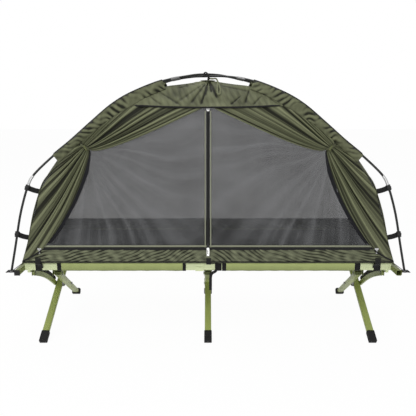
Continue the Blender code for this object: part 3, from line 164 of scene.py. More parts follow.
def mesh(name, points, around=False, looped=False, capped=False, wall=0, outward=0, relief=None):
    # a grid of points (rows, columns, 3) as quads; around joins the last column to the first, looped the
    # rows; relief is 0 in a fold's valley and 1 on its ridge
    rows, columns = points.shape[:2]
    index = np.arange(rows * columns).reshape(rows, columns)
    u = np.linalg.norm(np.diff(points, axis=1), axis=2).mean(0).cumsum()
    v = np.linalg.norm(np.diff(points, axis=0), axis=2).mean(1).cumsum()
    u, v = np.concatenate(([0], u)), np.concatenate(([0], v))
    if around:
        index = np.hstack((index, index[:, :1]))
        u = np.append(u, 2 * u[-1] - u[-2])
    if looped:
        index = np.vstack((index, index[:1]))
        v = np.append(v, 2 * v[-1] - v[-2])
    quads = cells(index).reshape(-1, 4).tolist()
    uvs = cells(np.stack(np.meshgrid(u, v), -1)).reshape(-1, 2)
    if capped:
        quads += [index[0, :columns][::-1].tolist(), index[-1, :columns].tolist()]
        uvs = np.vstack((uvs, np.zeros((2 * columns, 2))))
    data = bpy.data.meshes.new(name)
    data.from_pydata(points.reshape(-1, 3).tolist(), [], quads)
    data.uv_layers.new(name="weave").data.foreach_set("uv", uvs.ravel())
    if capped or (around and looped):
        fixNormals(data)
    # the relief also sets colour: the cloth and net looks paint shade in valleys and highlight on ridges by
    # it
    height = data.attributes.new("relief", "FLOAT", "POINT")
    relief = np.full(rows * columns, plainRelief) if relief is None else relief
    height.data.foreach_set("value", relief.ravel())
    data.shade_smooth()
    made = bpy.data.objects.new(name, data)
    bpy.context.scene.collection.objects.link(made)
    if wall:
        shell = made.modifiers.new("thickness", "SOLIDIFY")
        shell.thickness = wall
        shell.offset = outward
    return made


def fixNormals(data):
    shape = bmesh.new()
    shape.from_mesh(data)
    bmesh.ops.recalc_face_normals(shape, faces=shape.faces)
    shape.to_mesh(data)
    shape.free()


def sweep(path, profile, sideways=None, grow=None, looped=False):
    # a profile (a, b) carried along a path: a runs sideways, b across it; grow scales each ring's points
    path = np.asarray(path, float)
    if looped:
        path = np.vstack((path[-1:], path, path[:1]))
    ahead = unit(np.gradient(path, axis=0))
    side = np.cross(ahead, (0, 0, 1)) if sideways is None else np.broadcast_to(sideways, ahead.shape)
    side = unit(side - ahead * (side * ahead).sum(1)[:, None])
    up = np.cross(side, ahead)
    rings = profile[None, :, :1] * side[:, None] + profile[None, :, 1:] * up[:, None]
    if grow is not None:
        rings = rings * grow[:, :, None]
    points = path[:, None] + rings
    return points[1:-1] if looped else points


def circle(radius, steps=16):
    # cosine and sine of even turns, times the radius
    turn = np.linspace(0, 2 * np.pi, steps, endpoint=False)
    return radius * np.column_stack((np.cos(turn), np.sin(turn)))


def rounded(width, height, radius, steps=4):
    # rectangle with round corners: a corner's centre plus a quarter circle, four times
    quarter = np.linspace(0, np.pi / 2, steps + 1)
    points = []
    for k, (a, b) in enumerate(((1, 1), (-1, 1), (-1, -1), (1, -1))):
        turn = quarter + k * np.pi / 2
        centre = np.array((a * (width / 2 - radius), b * (height / 2 - radius)))
        points.append(centre + radius * np.column_stack((np.cos(turn), np.sin(turn))))
    return np.vstack(points)


def carried(name, path, profile, looped=False, **options):
    # a closed mesh of a profile carried along a path: a ring, or a rod with flat ends
    return mesh(name, sweep(path, profile, looped=looped, **options), True, looped, not looped)


def tube(name, path, radius, steps=16, **options):
    return carried(name, path, circle(radius, steps), **options)


def webbing(name, path, size, sideways, looped=False):
    # flat band: a thin rounded rectangle, its width along sideways, carried along a path
    width, thick = size
    return carried(name, path, rounded(width, thick, thick * 0.45, 2), looped, sideways=sideways)


def place(piece, look, *nodes, body="tent", slot=None):
    # a finished piece: its material, the body it moves with, and the solids that it stands for
    piece.data.materials.append(looks[look])
    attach(piece, body)
    if nodes:
        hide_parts(*nodes)
    return piece


flatSizes = {}


def cloth(name, points, look, *nodes, body="tent", held="stretched", restsOn=None, **options):
    # a sheet, its cut's size kept to print: its longest row, its middle column, and the area of its cells
    piece = place(mesh(name, points, **options), look, *nodes, body=body)
    width = np.linalg.norm(np.diff(points, axis=1), axis=2).sum(1).max()
    length = np.linalg.norm(np.diff(points, axis=0), axis=2).sum(0)[points.shape[1] // 2]
    a, b = points[1:, 1:] - points[:-1, :-1], points[1:, :-1] - points[:-1, 1:]
    area = np.linalg.norm(np.cross(a, b), axis=2).sum() / 2
    flatSizes[name] = (round(float(width), 3), round(float(length), 3), round(float(area), 4))
    area = float(np.clip(area, leastArea * width * length, width * length))
    return piece


# the tent's surface

sideShare = tent["tipY"] / tent["tipX"]
poleSize = np.array((tent["tipX"], tent["topZ"] - tent["tipZ"]))
poleLine = smoothThrough(np.array(tent["poleShares"]) * poleSize + (0, tent["tipZ"]), 140)


def insidePole(at, drops):
    # the pole's line moved inwards by the drop at its share of the reach
    ahead = unit(np.gradient(poleLine, axis=0))
    inward = np.column_stack((-ahead[:, 1], ahead[:, 0]))
    depth = np.interp(poleLine[:, 0] / tent["tipX"], at, drops)
    moved = poleLine + inward * depth[:, None]
    moved[-1] = (0, poleLine[-1, 1] - depth[-1])
    return moved


seamLine = insidePole(tent["seamAt"], tent["seamDrops"])
wallLine = insidePole(tent["wallAt"], tent["wallDrops"])


def seamX(z):
    return np.interp(z, seamLine[:, 1], seamLine[:, 0])


def doorDepth(z):
    # the seam's depth below the band's top, a straight slope from there to the hood's edge, and a share of
    # the seam's depth above
    share = np.clip((z - tent["bandTop"]) / (tent["hoodEdge"] - tent["bandTop"]), 0, 1)
    straight = sideShare * seamX(tent["bandTop"]) * (1 - share) + tent["doorTop"] * share
    above = tent["doorTop"] * seamX(z) / seamX(tent["hoodEdge"])
    return np.where(share <= 0, sideShare * seamX(z), np.where(share >= 1, above, straight))


def doorSurface(x, z):
    # the seam's depth at the seam, the door's in the middle, with a parabola between
    reach = seamX(z)
    share = np.minimum(1, np.abs(x) / np.maximum(reach, 0.0004)) ** 2
    return sideShare * reach * share + doorDepth(z) * (1 - share)


def doorPoints(x, z, side, out):
    # points on the door side, moved out along its slope
    step = 0.004
    lean = (doorSurface(x, z - step) - doorSurface(x, z + step)) / (2 * step)
    scale = out / np.hypot(1, lean)
    return xyz(x, side * (doorSurface(x, z) + scale), z + lean * scale)


def seamRows(low, high, count):
    # z and reach of rows at even steps along the seam
    line = seamLine[(seamLine[:, 1] > low) & (seamLine[:, 1] < high)]
    line = evenly(np.vstack(((seamX(low), low), line, (seamX(high), high))), count)
    return line[:, 1:], line[:, :1]


def panelGrid(low, high, across, up, back=0.0021):
    # x and z of a panel's points, with columns from seam to seam
    z, reach = seamRows(low, high, up)
    return np.linspace(-1, 1, across)[None] * (reach - back), z + np.zeros((1, across))


def poleHalf(xSide, ySide, count=None):
    # half a pole, tip to top; one pole passes over the other by a bell curve
    line = poleLine if count is None else smoothThrough(poleLine, count)
    lift = xSide * ySide * tent["crossLift"] * bell(line[:, 0], tent["crossWide"])
    return xyz(xSide * line[:, 0], ySide * sideShare * line[:, 0], line[:, 1] + lift)


def poleShare(line):
    return np.abs(line[:, 0]) / tent["tipX"]


# materials

class Value:
    # a socket whose sums and products add Math nodes
    def __init__(self, look, socket):
        self.look, self.socket = look, socket

    def __add__(self, other):
        return self.look.node("ShaderNodeMath", {"operation": "ADD"}, {0: self, 1: other})

    def __mul__(self, other):
        return self.look.node("ShaderNodeMath", {"operation": "MULTIPLY"}, {0: self, 1: other})

    __radd__, __rmul__ = __add__, __mul__

    def clear(self):
        return self.look.node("ShaderNodeClamp", {}, {"Value": self})


class Look:
    # a material, or the world, under construction
    def __init__(self, made, **inputs):
        self.made = made
        made.use_nodes = True
        self.nodes, self.links = made.node_tree.nodes, made.node_tree.links
        self.shader = self.nodes.get("Principled BSDF")
        self.set(**inputs)

    def node(self, kind, settings, inputs, output=0):
        made = self.nodes.new(kind)
        for key, value in settings.items():
            setattr(made, key, value)
        for key, value in inputs.items():
            self.put(made.inputs[key], value)
        return Value(self, made.outputs[output])

    def put(self, socket, value):
        if isinstance(value, Value):
            self.links.new(value.socket, socket)
        else:
            socket.default_value = value

    def set(self, **inputs):
        for key, value in inputs.items():
            self.put(self.shader.inputs[key.replace("_", " ")], value)

    def here(self):
        return self.node("ShaderNodeTexCoord", {}, {}, "Object")

    def weaveUv(self):
        return self.node("ShaderNodeUVMap", {"uv_map": "weave"}, {})

    def noise(self, at, scale, detail=3.0, rough=0.5):
        inputs = {"Vector": at, "Scale": scale, "Detail": detail, "Roughness": rough}
        return self.node("ShaderNodeTexNoise", {}, inputs)

    def part(self, at, name):
        return self.node("ShaderNodeSeparateXYZ", {}, {"Vector": at}, name)

    def mix(self, factor, a, b):
        return self.node("ShaderNodeMix", {"data_type": "RGBA"}, {0: factor, 6: a, 7: b}, 2)

    def spread(self, value, low, high, toLow=0.0, toHigh=1.0):
        inputs = {"Value": value, "From Min": low, "From Max": high, "To Min": toLow, "To Max": toHigh}
        return self.node("ShaderNodeMapRange", {}, inputs)

    def bump(self, height, strength, distance):
        inputs = {"Height": height, "Strength": strength, "Distance": distance}
        return self.node("ShaderNodeBump", {}, inputs)

    def relief(self):
        return self.node("ShaderNodeAttribute", {"attribute_name": "relief"}, {}, "Fac")

    def sine(self, value, period):
        # one wave, 6.2832 radians, for each period
        return self.node("ShaderNodeMath", {"operation": "SINE"}, {0: value * (6.2832 / period)})

    def whiteRays(self):
        # 1 for rays that see the white background: from the camera, off gloss, and through glass
        kinds = ("Is Camera Ray", "Is Glossy Ray", "Is Transmission Ray")
        camera, glossy, through = [self.node("ShaderNodeLightPath", {}, {}, kind) for kind in kinds]
        return camera + glossy + through


def newLook(name, **inputs):
    return Look(bpy.data.materials.new(name), **inputs)


def rgba(colour, factor=1.0):
    return tuple(c * factor for c in colour) + (1.0,)


def clothLook(name, colour, rough, bump, sheen=0.0, gloss=0.2, thread=0.0009, valley=0.7, ridgeHighlight=1.3):
    # woven cloth: two crossed sets of threads, a soft mottle, painted shade in folds' valleys and a painted
    # highlight on ridges
    look = newLook(name, Sheen_Weight=sheen, Sheen_Roughness=0.5, Specular_IOR_Level=gloss)
    here, at = look.here(), look.weaveUv()
    threads = (look.sine(look.part(at, "X"), thread) * look.sine(look.part(at, "Y"), thread)) * 0.5 + 0.5
    broad, fine = look.noise(here, 7.0, 4.0, 0.6), look.noise(here, 160.0, 2.0)
    # painted shade and highlight: the relief mixes from the valley share of the colour to the ridge share
    base = look.mix(look.relief(), rgba(colour, valley), rgba(colour, ridgeHighlight))
    mottle = (look.spread(broad, 0.3, 0.7) * 0.16 + fine * 0.06).clear()
    mottled = look.mix(mottle, base, rgba(colour, 0.55))
    look.set(Base_Color=look.mix(threads * 0.22, mottled, rgba(colour, 0.5)),
             Roughness=look.spread(fine, 0.3, 0.7, rough - 0.06, rough + 0.06),
             Normal=look.bump(threads + fine * 0.5, bump, thread * 0.35))
    return look.made


def paintLook(name, colour, rough=0.42, metallic=0.0, shadeUnderBed=0.0):
    # coated metal: fine orange-peel, faint dull patches, small scuffs along X, and painted shade up by the
    # hinges
    look = newLook(name, Metallic=metallic, Specular_IOR_Level=0.4)
    here = look.here()
    peel, patches = look.noise(here, 420.0, 2.0), look.noise(here, 9.0, 4.0)
    stretched = look.node("ShaderNodeMapping", {}, {"Vector": here, "Scale": (6.0, 60.0, 60.0)})
    scuffs = look.spread(look.noise(stretched, 3.0, 4.0), 0.64, 0.78) * 0.25
    base = look.mix(look.spread(patches, 0.3, 0.7), rgba(colour, 0.94), rgba(colour, 1.06))
    worn = look.mix(scuffs, base, rgba([c * 0.6 + 0.12 for c in colour]))
    # painted shade: from 0.26 m up to 0.39 m the colour goes towards a quarter of itself, as under the bed
    dark = look.spread(look.part(here, "Z"), 0.26, 0.39, 0.0, shadeUnderBed).clear()
    look.set(Base_Color=look.mix(dark, worn, rgba(colour, 0.25)),
             Roughness=look.spread(patches, 0.25, 0.75, rough - 0.07, rough + 0.09),
             Normal=look.bump(peel, 0.12, 0.0004))
    return look.made


def plasticLook(name, colour, rough, grain=700.0, bump=0.2):
    # moulded plastic or rubber: a fine grain and faint dust
    look = newLook(name, Specular_IOR_Level=0.25)
    here = look.here()
    fine, dust = look.noise(here, grain, 2.0), look.noise(here, 30.0, 5.0, 0.65)
    dusty = look.spread(dust, 0.55, 0.8) * 0.16
    look.set(Base_Color=look.mix(dusty, rgba(colour), rgba([c * 0.8 + 0.03 for c in colour])),
             Roughness=look.spread(dust, 0.3, 0.7, rough - 0.06, rough + 0.08),
             Normal=look.bump(fine, bump, 0.0003))
    return look.made


def webbingLook(name, colour):
    # webbing: ribs across the band, and a fainter run of threads along it
    look = newLook(name, Sheen_Weight=0.05, Specular_IOR_Level=0.2)
    at = look.weaveUv()
    ribs, runs = look.sine(look.part(at, "Y"), 0.0022), look.sine(look.part(at, "X"), 0.0016)
    height = ribs * 0.6 + runs * ribs * 0.4
    fine = look.noise(look.here(), 220.0, 2.0)
    look.set(Base_Color=look.mix(look.spread(height, -0.8, 0.8), rgba(colour, 0.6), rgba(colour, 1.35)),
             Roughness=look.spread(fine, 0.3, 0.7, 0.72, 0.9),
             Normal=look.bump(height, 0.5, 0.0005))
    return look.made


def netLook(name, colour, cover):
    # insect net: too fine to see single threads, so an even cover that thickens on the ridges of its
    # creases, with a painted highlight on the ridges and painted shade in the valleys
    look = newLook(name, Roughness=0.9, Specular_IOR_Level=0.15)
    relief, uneven = look.relief(), look.noise(look.here(), 14.0, 4.0, 0.6)
    look.set(Base_Color=look.mix(relief, rgba(colour, 0.55), rgba(colour, 1.9)),
             Alpha=(relief * 0.14 + uneven * 0.05 + (cover - 0.09)).clear())
    look.made.surface_render_method = "DITHERED"
    return look.made


colours = {
    # painted light and shade: the rail's colour is the legs' olive made paler, the bracket's is it at a
    # third
    "paint": (0.255, 0.300, 0.085), "rail": (0.545, 0.605, 0.355), "bracket": (0.085, 0.105, 0.028),
    "bedCloth": (0.450, 0.515, 0.205), "tentCloth": (0.059, 0.063, 0.036), "band": (0.068, 0.073, 0.045),
    "floor": (0.030, 0.031, 0.027), "lining": (0.006, 0.006, 0.008), "net": (0.061, 0.062, 0.064),
    "black": (0.008, 0.008, 0.008), "pole": (0.010, 0.011, 0.010), "piping": (0.235, 0.245, 0.175),
    "zip": (0.007, 0.007, 0.007), "olive": (0.055, 0.061, 0.028), "loop": (0.130, 0.140, 0.078),
    "olivePlastic": (0.085, 0.095, 0.035), "silver": (0.72, 0.72, 0.70), "ferrule": (0.42, 0.42, 0.42),
    "dullFerrule": (0.16, 0.16, 0.16), "zinc": (0.2, 0.2, 0.2),
}
# valley and ridge shares of the colour: painted shade in folds' valleys, painted highlight on their ridges
tentWeave = {"rough": 0.55, "bump": 0.10, "gloss": 0.10, "thread": 0.0007, "valley": 0.05}
bedWeave = {"rough": 0.88, "bump": 0.35, "sheen": 0.1, "thread": 0.0013, "valley": 0.30}
looks = {
    # the legs' olive, with painted shade under the bed
    "paint": paintLook("olivePaint", colours["paint"], shadeUnderBed=0.62),
    # painted light: the rails and hinges get the legs' olive made paler, for the light and sheen on them
    "rail": paintLook("railPaintLit", colours["rail"], 0.45),
    # painted shade: the brackets get the legs' olive at a third, for the shade between their plates
    "bracket": paintLook("bracketPaintShaded", colours["bracket"]),
    "zinc": paintLook("darkZinc", colours["zinc"], 0.35, metallic=0.9),
    "silver": paintLook("sliderMetal", colours["silver"], 0.28, metallic=0.6),
    "ferrule": paintLook("ferruleMetal", colours["ferrule"], 0.35, metallic=0.5),
    "dullFerrule": paintLook("dullFerrule", colours["dullFerrule"], 0.4, metallic=0.5),
    "rubber": plasticLook("footRubber", colours["black"], 0.75),
    "plastic": plasticLook("blackPlastic", colours["black"], 0.5),
    "olivePlastic": plasticLook("olivePlastic", colours["olivePlastic"], 0.4),
    "pole": plasticLook("poleCoat", colours["pole"], 0.42, grain=300.0, bump=0.05),
    "bedCloth": clothLook("bedCanvas", colours["bedCloth"], **bedWeave, ridgeHighlight=2.05),
    "tentCloth": clothLook("tentCloth", colours["tentCloth"], **tentWeave, ridgeHighlight=3.6),
    "band": clothLook("bandCloth", colours["band"], **tentWeave, ridgeHighlight=3.3),
    "floor": clothLook("floorCloth", colours["floor"], 0.6, 0.12, sheen=0.05),
    "lining": clothLook("flapLining", colours["lining"], 0.7, 0.12, gloss=0.15),
    "piping": clothLook("beigePiping", colours["piping"], 0.8, 0.3, sheen=0.1),
    "net": netLook("insectNet", colours["net"], 0.476),
    "webbing": webbingLook("blackWebbing", colours["black"]),
    "oliveWebbing": webbingLook("oliveWebbing", colours["olive"]),
    "loop": webbingLook("loopWebbing", colours["loop"]),
    "zip": webbingLook("zipTape", colours["zip"]),
}
print("materials made")


# the frame's own solids get their paint and rubber

def dress(look, *starts):
    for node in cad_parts:
        if node.startswith(starts):
            materials = bpy.data.objects[node].data.materials
            materials.clear()
            materials.append(looks[look])


dress("paint", "front_foot_leg", "rear_foot_leg", "end_bar_left", "end_bar_right", "front_brace")
dress("rail", "front_rail", "rear_rail", "front_hinge", "rear_hinge")
dress("bracket", "front_bracket", "rear_bracket", "brace_bracket")
dress("zinc", "cross_bolt")
dress("rubber", "front_foot_left", "front_foot_middle", "front_foot_right",
      "rear_foot_left", "rear_foot_middle", "rear_foot_right")
dress("plastic", "end_bar_cap", "zip_slider_middle")
dress("ferrule", "zip_slider_left", "zip_slider_right")
print("frame dressed")


# poles, with a joint tube at each side of the top and at each shoulder

poles = {
    "radius": 0.0053, "jointRadius": 0.0066, "jointEnd": 0.86,
    "joints": ((0.868, 0.902, "ferrule"), (0.150, 0.200, "dullFerrule")),  # shares of the reach, look
}


def makePoles():
    for name, which in (("One", 1), ("Two", -1)):
        first, second = poleHalf(-1, -which), poleHalf(1, which)[::-1]
        rod = tube("pole" + name, np.vstack((first, second[1:])), poles["radius"])
        place(rod, "pole", "pole_" + name.lower())
        for side, sideName in sides:
            line = poleHalf(side, side * which, 400)
            share = poleShare(line)
            for k, (low, high, look) in enumerate(poles["joints"]):
                stretch = line[(share > low) & (share < high)]
                inside = fadeOut(np.linspace(0, 1, len(stretch))[:, None], 0.06)
                grow = poles["jointEnd"] + (1 - poles["jointEnd"]) * inside
                joint = f"pole{name}Joint{sideName.title()}{k}"
                place(tube(joint, stretch, poles["jointRadius"], grow=grow), look)


makePoles()
print("poles made")


# nets: the door's surface, with slow waves and, in front, creases that fan out from the flaps' ties

nets = {
    "columns": 301, "rows": 141, "wall": 0.0008, "fold": 0.0026, "wave": 0.26, "waveShare": 0.45,
    "rayShare": 1.35, "rayReach": 0.85, "reliefLow": 0.27, "reliefShare": 0.52, "inside": 0.003,
    "underBand": 0.002, "underHood": 0.004,
}


def tieRays(x, z):
    # narrow rays round each tie, weaker away from it and bent by a slow wave
    total = 0 * x
    for side, _ in sides:
        dx, dz = x - side * tent["tieX"], z - tent["tieZ"]
        far, turn = np.hypot(dx, dz), np.arctan2(dz, -side * dx)
        bent = turn + 0.10 * waves(x, z, 0.7, 23 + side, 2)
        ray = humps(27 * bent + 2.0 * np.sin(6 * bent)) ** 3 + 0.5 * humps(61 * bent) ** 4
        total = total + ray * np.exp(-far / nets["rayReach"]) * np.minimum(1, far / 0.06)
    return total


def makeNets():
    columns, rows = nets["columns"], nets["rows"]
    for side, name in faces:
        low = tent["bandTop" if side < 0 else "rearBandTop"]
        x, z = panelGrid(low - nets["underBand"], tent["hoodEdge"] + nets["underHood"], columns, rows)
        rays = nets["rayShare"] * tieRays(x, z) if side < 0 else 0
        folds = waves(x, z * 0.45, nets["wave"], 11 + side) * nets["waveShare"] + rays
        fade = fadeGrid(columns, rows, 0.05, 0.06)
        grid = doorPoints(x, z, side, folds * fade * nets["fold"] - nets["inside"])
        relief = np.clip(nets["reliefLow"] + nets["reliefShare"] * folds, 0, 1)
        cloth(name + "Net", grid, "net", name + "_mesh", wall=nets["wall"], relief=relief)


# hoods: the door's surface above its opening, with a lip over the edge and valleys down from the top

hoods = {
    "columns": 241, "rows": 91, "fold": 0.0105, "valley": 0.75, "crumple": 0.22, "streak": 0.17,
    "off": 0.002, "lip": 0.009, "lipReach": 0.375, "bow": 0.0065, "bowReach": 0.35, "bowBack": 0.003,
    "binding": (0.008, 0.0026), "bindingReach": 0.356, "bindingOff": 0.0008,
    # the front hood's valleys: x, z to x, z, width, depth
    "lines": (
        (0.003, 1.290, -0.034, 1.172, 0.006, 0.90), (0.001, 1.284, -0.012, 1.215, 0.005, 0.60),
        (0.008, 1.288, 0.047, 1.205, 0.008, 1.10), (-0.006, 1.284, -0.090, 1.170, 0.008, 0.50),
        (0.004, 1.286, 0.018, 1.232, 0.005, 0.70), (-0.012, 1.280, -0.160, 1.176, 0.008, 0.30),
        (-0.240, 1.236, -0.130, 1.168, 0.008, 0.50), (-0.290, 1.216, -0.225, 1.170, 0.006, 0.50),
        (0.160, 1.216, 0.105, 1.170, 0.006, 0.45), (0.205, 1.250, 0.176, 1.175, 0.007, 0.55),
        (0.260, 1.214, 0.216, 1.170, 0.006, 0.50), (0.050, 1.268, 0.205, 1.236, 0.007, 0.35),
        (-0.150, 1.254, -0.040, 1.278, 0.006, 0.30), (0.300, 1.202, 0.335, 1.175, 0.006, 0.45),
    ),
}


def makeHoods():
    top = seamLine[-1, 1] - 0.0005
    for side, name in faces:
        x, z = panelGrid(tent["hoodEdge"] - 0.004, top, hoods["columns"], hoods["rows"], 0.001)
        rise = (z - z[0, 0]) / (top - z[0, 0])
        z = z + (1 - rise) * (hoods["bow"] * (x / hoods["bowReach"]) ** 2 - hoods["bowBack"])
        streaks = waves(x + 0.5 * z, z * 0.35, 0.030, 35 + side, 2)
        crumple = hoods["crumple"] * waves(x, z, 0.20, 31 + side, 2) + hoods["streak"] * streaks
        folds = np.clip(0.50 - hoods["valley"] * creases(-side * x, z, hoods["lines"]) + crumple, 0, 1)
        fade = fadeOut(np.linspace(0, 1, hoods["columns"]), 0.05)[None] * np.minimum(1, (1 - rise) / 0.12)
        lip = hoods["lip"] * np.exp(-(z - z[0]) / 0.02)
        lip = lip * np.clip((hoods["lipReach"] - np.abs(x)) / 0.06, 0, 1)
        grid = doorPoints(x, z, side, hoods["off"] + lip + (folds - 0.5) * fade * hoods["fold"])
        grid[:, :, 2] = np.minimum(grid[:, :, 2], top)
        cloth(name + "Hood", grid, "tentCloth", name + "_hood", wall=tent["wall"], relief=folds)
        edge = grid[0, np.abs(x[0]) < hoods["bindingReach"]] + (0, side * hoods["bindingOff"], 0)
        place(webbing(name + "HoodBinding", edge[::3], hoods["binding"], (0, -side * 0.24, 0.97)), "zip")


# bands: the upright edge of the floor, with wrinkles that lie the flatter the nearer they are to a corner

bands = {
    "columns": 421, "rows": 41, "fold": 0.0055, "off": 0.0006, "valley": 0.82,
    # below this height it is tucked in, by so much for each metre
    "tuckAt": 0.4365, "tuck": 3.0,
    # the wrinkles' distance and slope in the middle, and what is added towards a corner
    "pitch": 0.027, "cornerPitch": 0.050, "slope": 1.3, "cornerSlope": 4.4,
    # lines sewn along it, the second only in front: height, width, look
    "lines": ((0.4385, 0.0060, "zip"), (0.5135, 0.0092, "piping")), "lineThick": 0.0014,
}
floor = {"columns": 161, "rows": 61, "inset": 0.045, "off": 0.0006, "wall": 0.0008, "slack": 0.0022}


def bandRelief(x, z, side, reach, high):
    # valleys wherever the count of wrinkles, summed from the middle outwards, comes to a whole number
    outward = np.linspace(0, 1, 200)
    steps = 1 / (bands["pitch"] + bands["cornerPitch"] * outward[1:] ** 1.5)
    turns = np.concatenate(([0], np.cumsum(steps))) * reach / 199
    away = np.abs(x) / reach
    slope = bands["slope"] + bands["cornerSlope"] * away ** 1.5
    slant = (z - high) * slope / (bands["pitch"] + bands["cornerPitch"] * away ** 1.5)
    bent = fullTurn * (np.interp(away, outward, turns) + slant) + 3.4 * waves(x, z * 1.2, 0.22, 51 + side, 2)
    strong = np.clip(0.55 + 0.9 * waves(x, z * 0.7, 0.16, 61 + side, 2), 0.15, 1)
    valleys = humps(bent) ** 3.2 * strong + 0.26 * humps(2.3 * bent + 1) ** 2
    return np.clip(0.60 - bands["valley"] * valleys + 0.26 * waves(x, z, 0.05, 67 + side), 0, 1)


def makeBands():
    reach = float(seamX(tent["panelFoot"]))
    columns, rows = bands["columns"], bands["rows"]
    for side, name in faces:
        high = tent["bandTop" if side < 0 else "rearBandTop"]
        x, z = panelGrid(tent["floorBottom"] + 0.001, high + 0.001, columns, rows, 0.0015)
        relief = bandRelief(x, z, side, reach, high)
        fade = np.sin(np.pi * np.linspace(0, 1, rows)[:, None]) ** 0.5
        fade = fadeOut(np.linspace(0, 1, columns), 0.01)[None] * fade
        tuck = bands["tuck"] * np.clip(bands["tuckAt"] - z, 0, 1)
        grid = doorPoints(x, z, side, bands["off"] + relief * fade * bands["fold"] - tuck)
        cloth(name + "Band", grid, "band", "tent_tub", restsOn=["bed_canvas"],
              wall=tent["wall"], relief=relief)
        for k, (low, wide, look) in enumerate(bands["lines"][:1] if side > 0 else bands["lines"]):
            line = np.linspace(-1, 1, 160) * (float(seamX(low)) - 0.004)
            path = doorPoints(line, low, side, 0.0040 - 0.0024 * k)
            place(webbing(f"{name}BandLine{k}", path, (wide, bands["lineThick"]), (0, 0, 1)), look)


def makeFloor():
    # a flat sheet whose slack lifts it off the bed in soft humps
    reach = float(seamX(tent["panelFoot"]))
    columns, rows = floor["columns"], floor["rows"]
    half = sideShare * reach - floor["inset"]
    x, y = np.meshgrid(np.linspace(-reach, reach, columns) * 0.998, np.linspace(-1, 1, rows) * half)
    lift = (waves(x, y, 0.3, 71) + 1) * floor["slack"] * fadeGrid(columns, rows, 0.03, 0.06)
    grid = xyz(x, y, tent["floorBottom"] + floor["off"] + lift)
    cloth("tentFloor", grid, "floor", "tent_tub", held="laid", restsOn=["bed_canvas"], wall=floor["wall"])


# end walls: rows from seam to seam, which swell out to the wall's own line between them

endWalls = {
    "columns": 71, "rows": 141, "slack": 0.006, "wave": 0.20, "inside": 0.0012,
    "seam": 0.0022, "seamOff": 0.0004,
}


def makeEndWalls():
    for side, name in sides:
        z, reach = seamRows(tent["panelFoot"] - 0.001, seamLine[-1, 1] - 0.0008, endWalls["rows"])
        outX, outZ = (np.interp(z, seamLine[:, 1], gap) for gap in (wallLine - seamLine).T)
        across = np.linspace(-1, 1, endWalls["columns"])[None]
        y = across * sideShare * reach
        swell = 1 - np.abs(across) ** 9
        slack = waves(y * 1.2, z, endWalls["wave"], 81 + side) * 0.45 + np.sin(y * 30 + 4 * z) * 0.15
        folds = (1 - across ** 2) * np.minimum(1, reach / 0.3) * (slack * endWalls["slack"] - 0.001)
        x = reach - endWalls["inside"] + outX * swell + folds
        grid = xyz(side * x, y, z + outZ * swell + folds * 0.3)
        cloth(name + "EndWall", grid, "tentCloth", "end_wall_" + name, wall=tent["wall"])
        for ySide, yName in faces:
            seam = xyz(side * (reach + endWalls["seamOff"]), ySide * sideShare * reach, z)
            seam = smoothThrough(seam[::4, 0], 120)
            place(tube(f"{name}Seam{yName.title()}", seam, endWalls["seam"], 8), "tentCloth")


makeNets()
makeHoods()
makeBands()
makeFloor()
makeEndWalls()
print("tent walls made")


# pole sleeves: a band of doubled cloth from its stitching on the door, round the pole, to the end wall

sleeves = {
    "radius": 0.0054, "low": 0.777, "high": 0.237, "rows": 320, "fold": 0.0066, "bulge": 0.004,
    "wall": 0.0010, "edge": 0.0036, "edgeOut": 0.0048, "edgeFront": 0.001, "seamIn": 0.0125,
    "doorSlope": 0.2432, "stitchOff": 0.0035,
    # wrinkles: their slant along and across the band, their distance, and the band's width for them
    "slant": (0.64, 0.77), "pitch": 0.023, "width": 0.09, "valley": 0.9,
    # painted shade: a smooth dark rim where the cloth leaves the pole: its column, width and depth
    "rimAt": 19, "rimWide": 2.8, "rimDeep": 0.97,
    # stitching on the door: x, z
    "stitching": (
        (0.2079, 1.244), (0.2809, 1.2139), (0.3511, 1.1731), (0.4335, 1.1265), (0.5151, 1.0687),
        (0.5954, 1.0056), (0.663, 0.9436), (0.7028, 0.9068),
    ),
}


def sleevePole(xSide, ySide):
    # the stretch of the pole inside a sleeve
    line = poleHalf(xSide, ySide, 520)
    share = poleShare(line)
    return smoothThrough(line[(share < sleeves["low"]) & (share > sleeves["high"])][::-6], sleeves["rows"])


def sleeveStitching(xSide, ySide):
    # the smooth line of its stitching, on the door
    inner = smoothThrough(sleeves["stitching"], sleeves["rows"])
    return doorPoints(xSide * inner[:, 0], inner[:, 1], ySide, sleeves["stitchOff"])


def sleeveSeam(xSide, ySide, pole):
    # where the band ends on the end wall: inside the pole, along its normal
    ahead = unit(np.gradient(pole[:, (0, 2)] * (xSide, 1), axis=0)) * sleeves["seamIn"]
    reach = np.abs(pole[:, 0]) + ahead[:, 1]
    return xyz(xSide * reach, ySide * sideShare * reach * 0.90, pole[:, 2] - ahead[:, 0])


def sleevePoints(stitched, pole, seam, front, outer):
    # three strips side by side, and the way out of the cloth at each point: straight from the stitching to
    # the pole with a bulge, a half circle round the pole, and straight back to the end wall
    stitched, middle, seam, outer = (line[:, None] for line in (stitched, pole, seam, outer))
    radius = sleeves["radius"]
    share, turn, back = (np.linspace(*span)[:, None] for span in ((0, 1, 17), (0, np.pi, 9), (0, 1, 12)))
    turn = turn[1:-1]
    out = radius * share + sleeves["bulge"] * np.sin(np.pi * share)
    face = stitched * (1 - share) + middle * share + front * out
    bend = middle + radius * (front * np.cos(turn) + outer * np.sin(turn))
    rear = (middle - front * radius) * (1 - back) + seam * back
    rear = rear + outer * (sleeves["bulge"] * np.sin(np.pi * back))
    rearWay = np.broadcast_to(outer - 0.3 * front, rear.shape)
    ways = np.concatenate((np.broadcast_to(front, face.shape), bend - middle, rearWay), 1)
    return np.concatenate((face, bend, rear), 1), unit(ways)


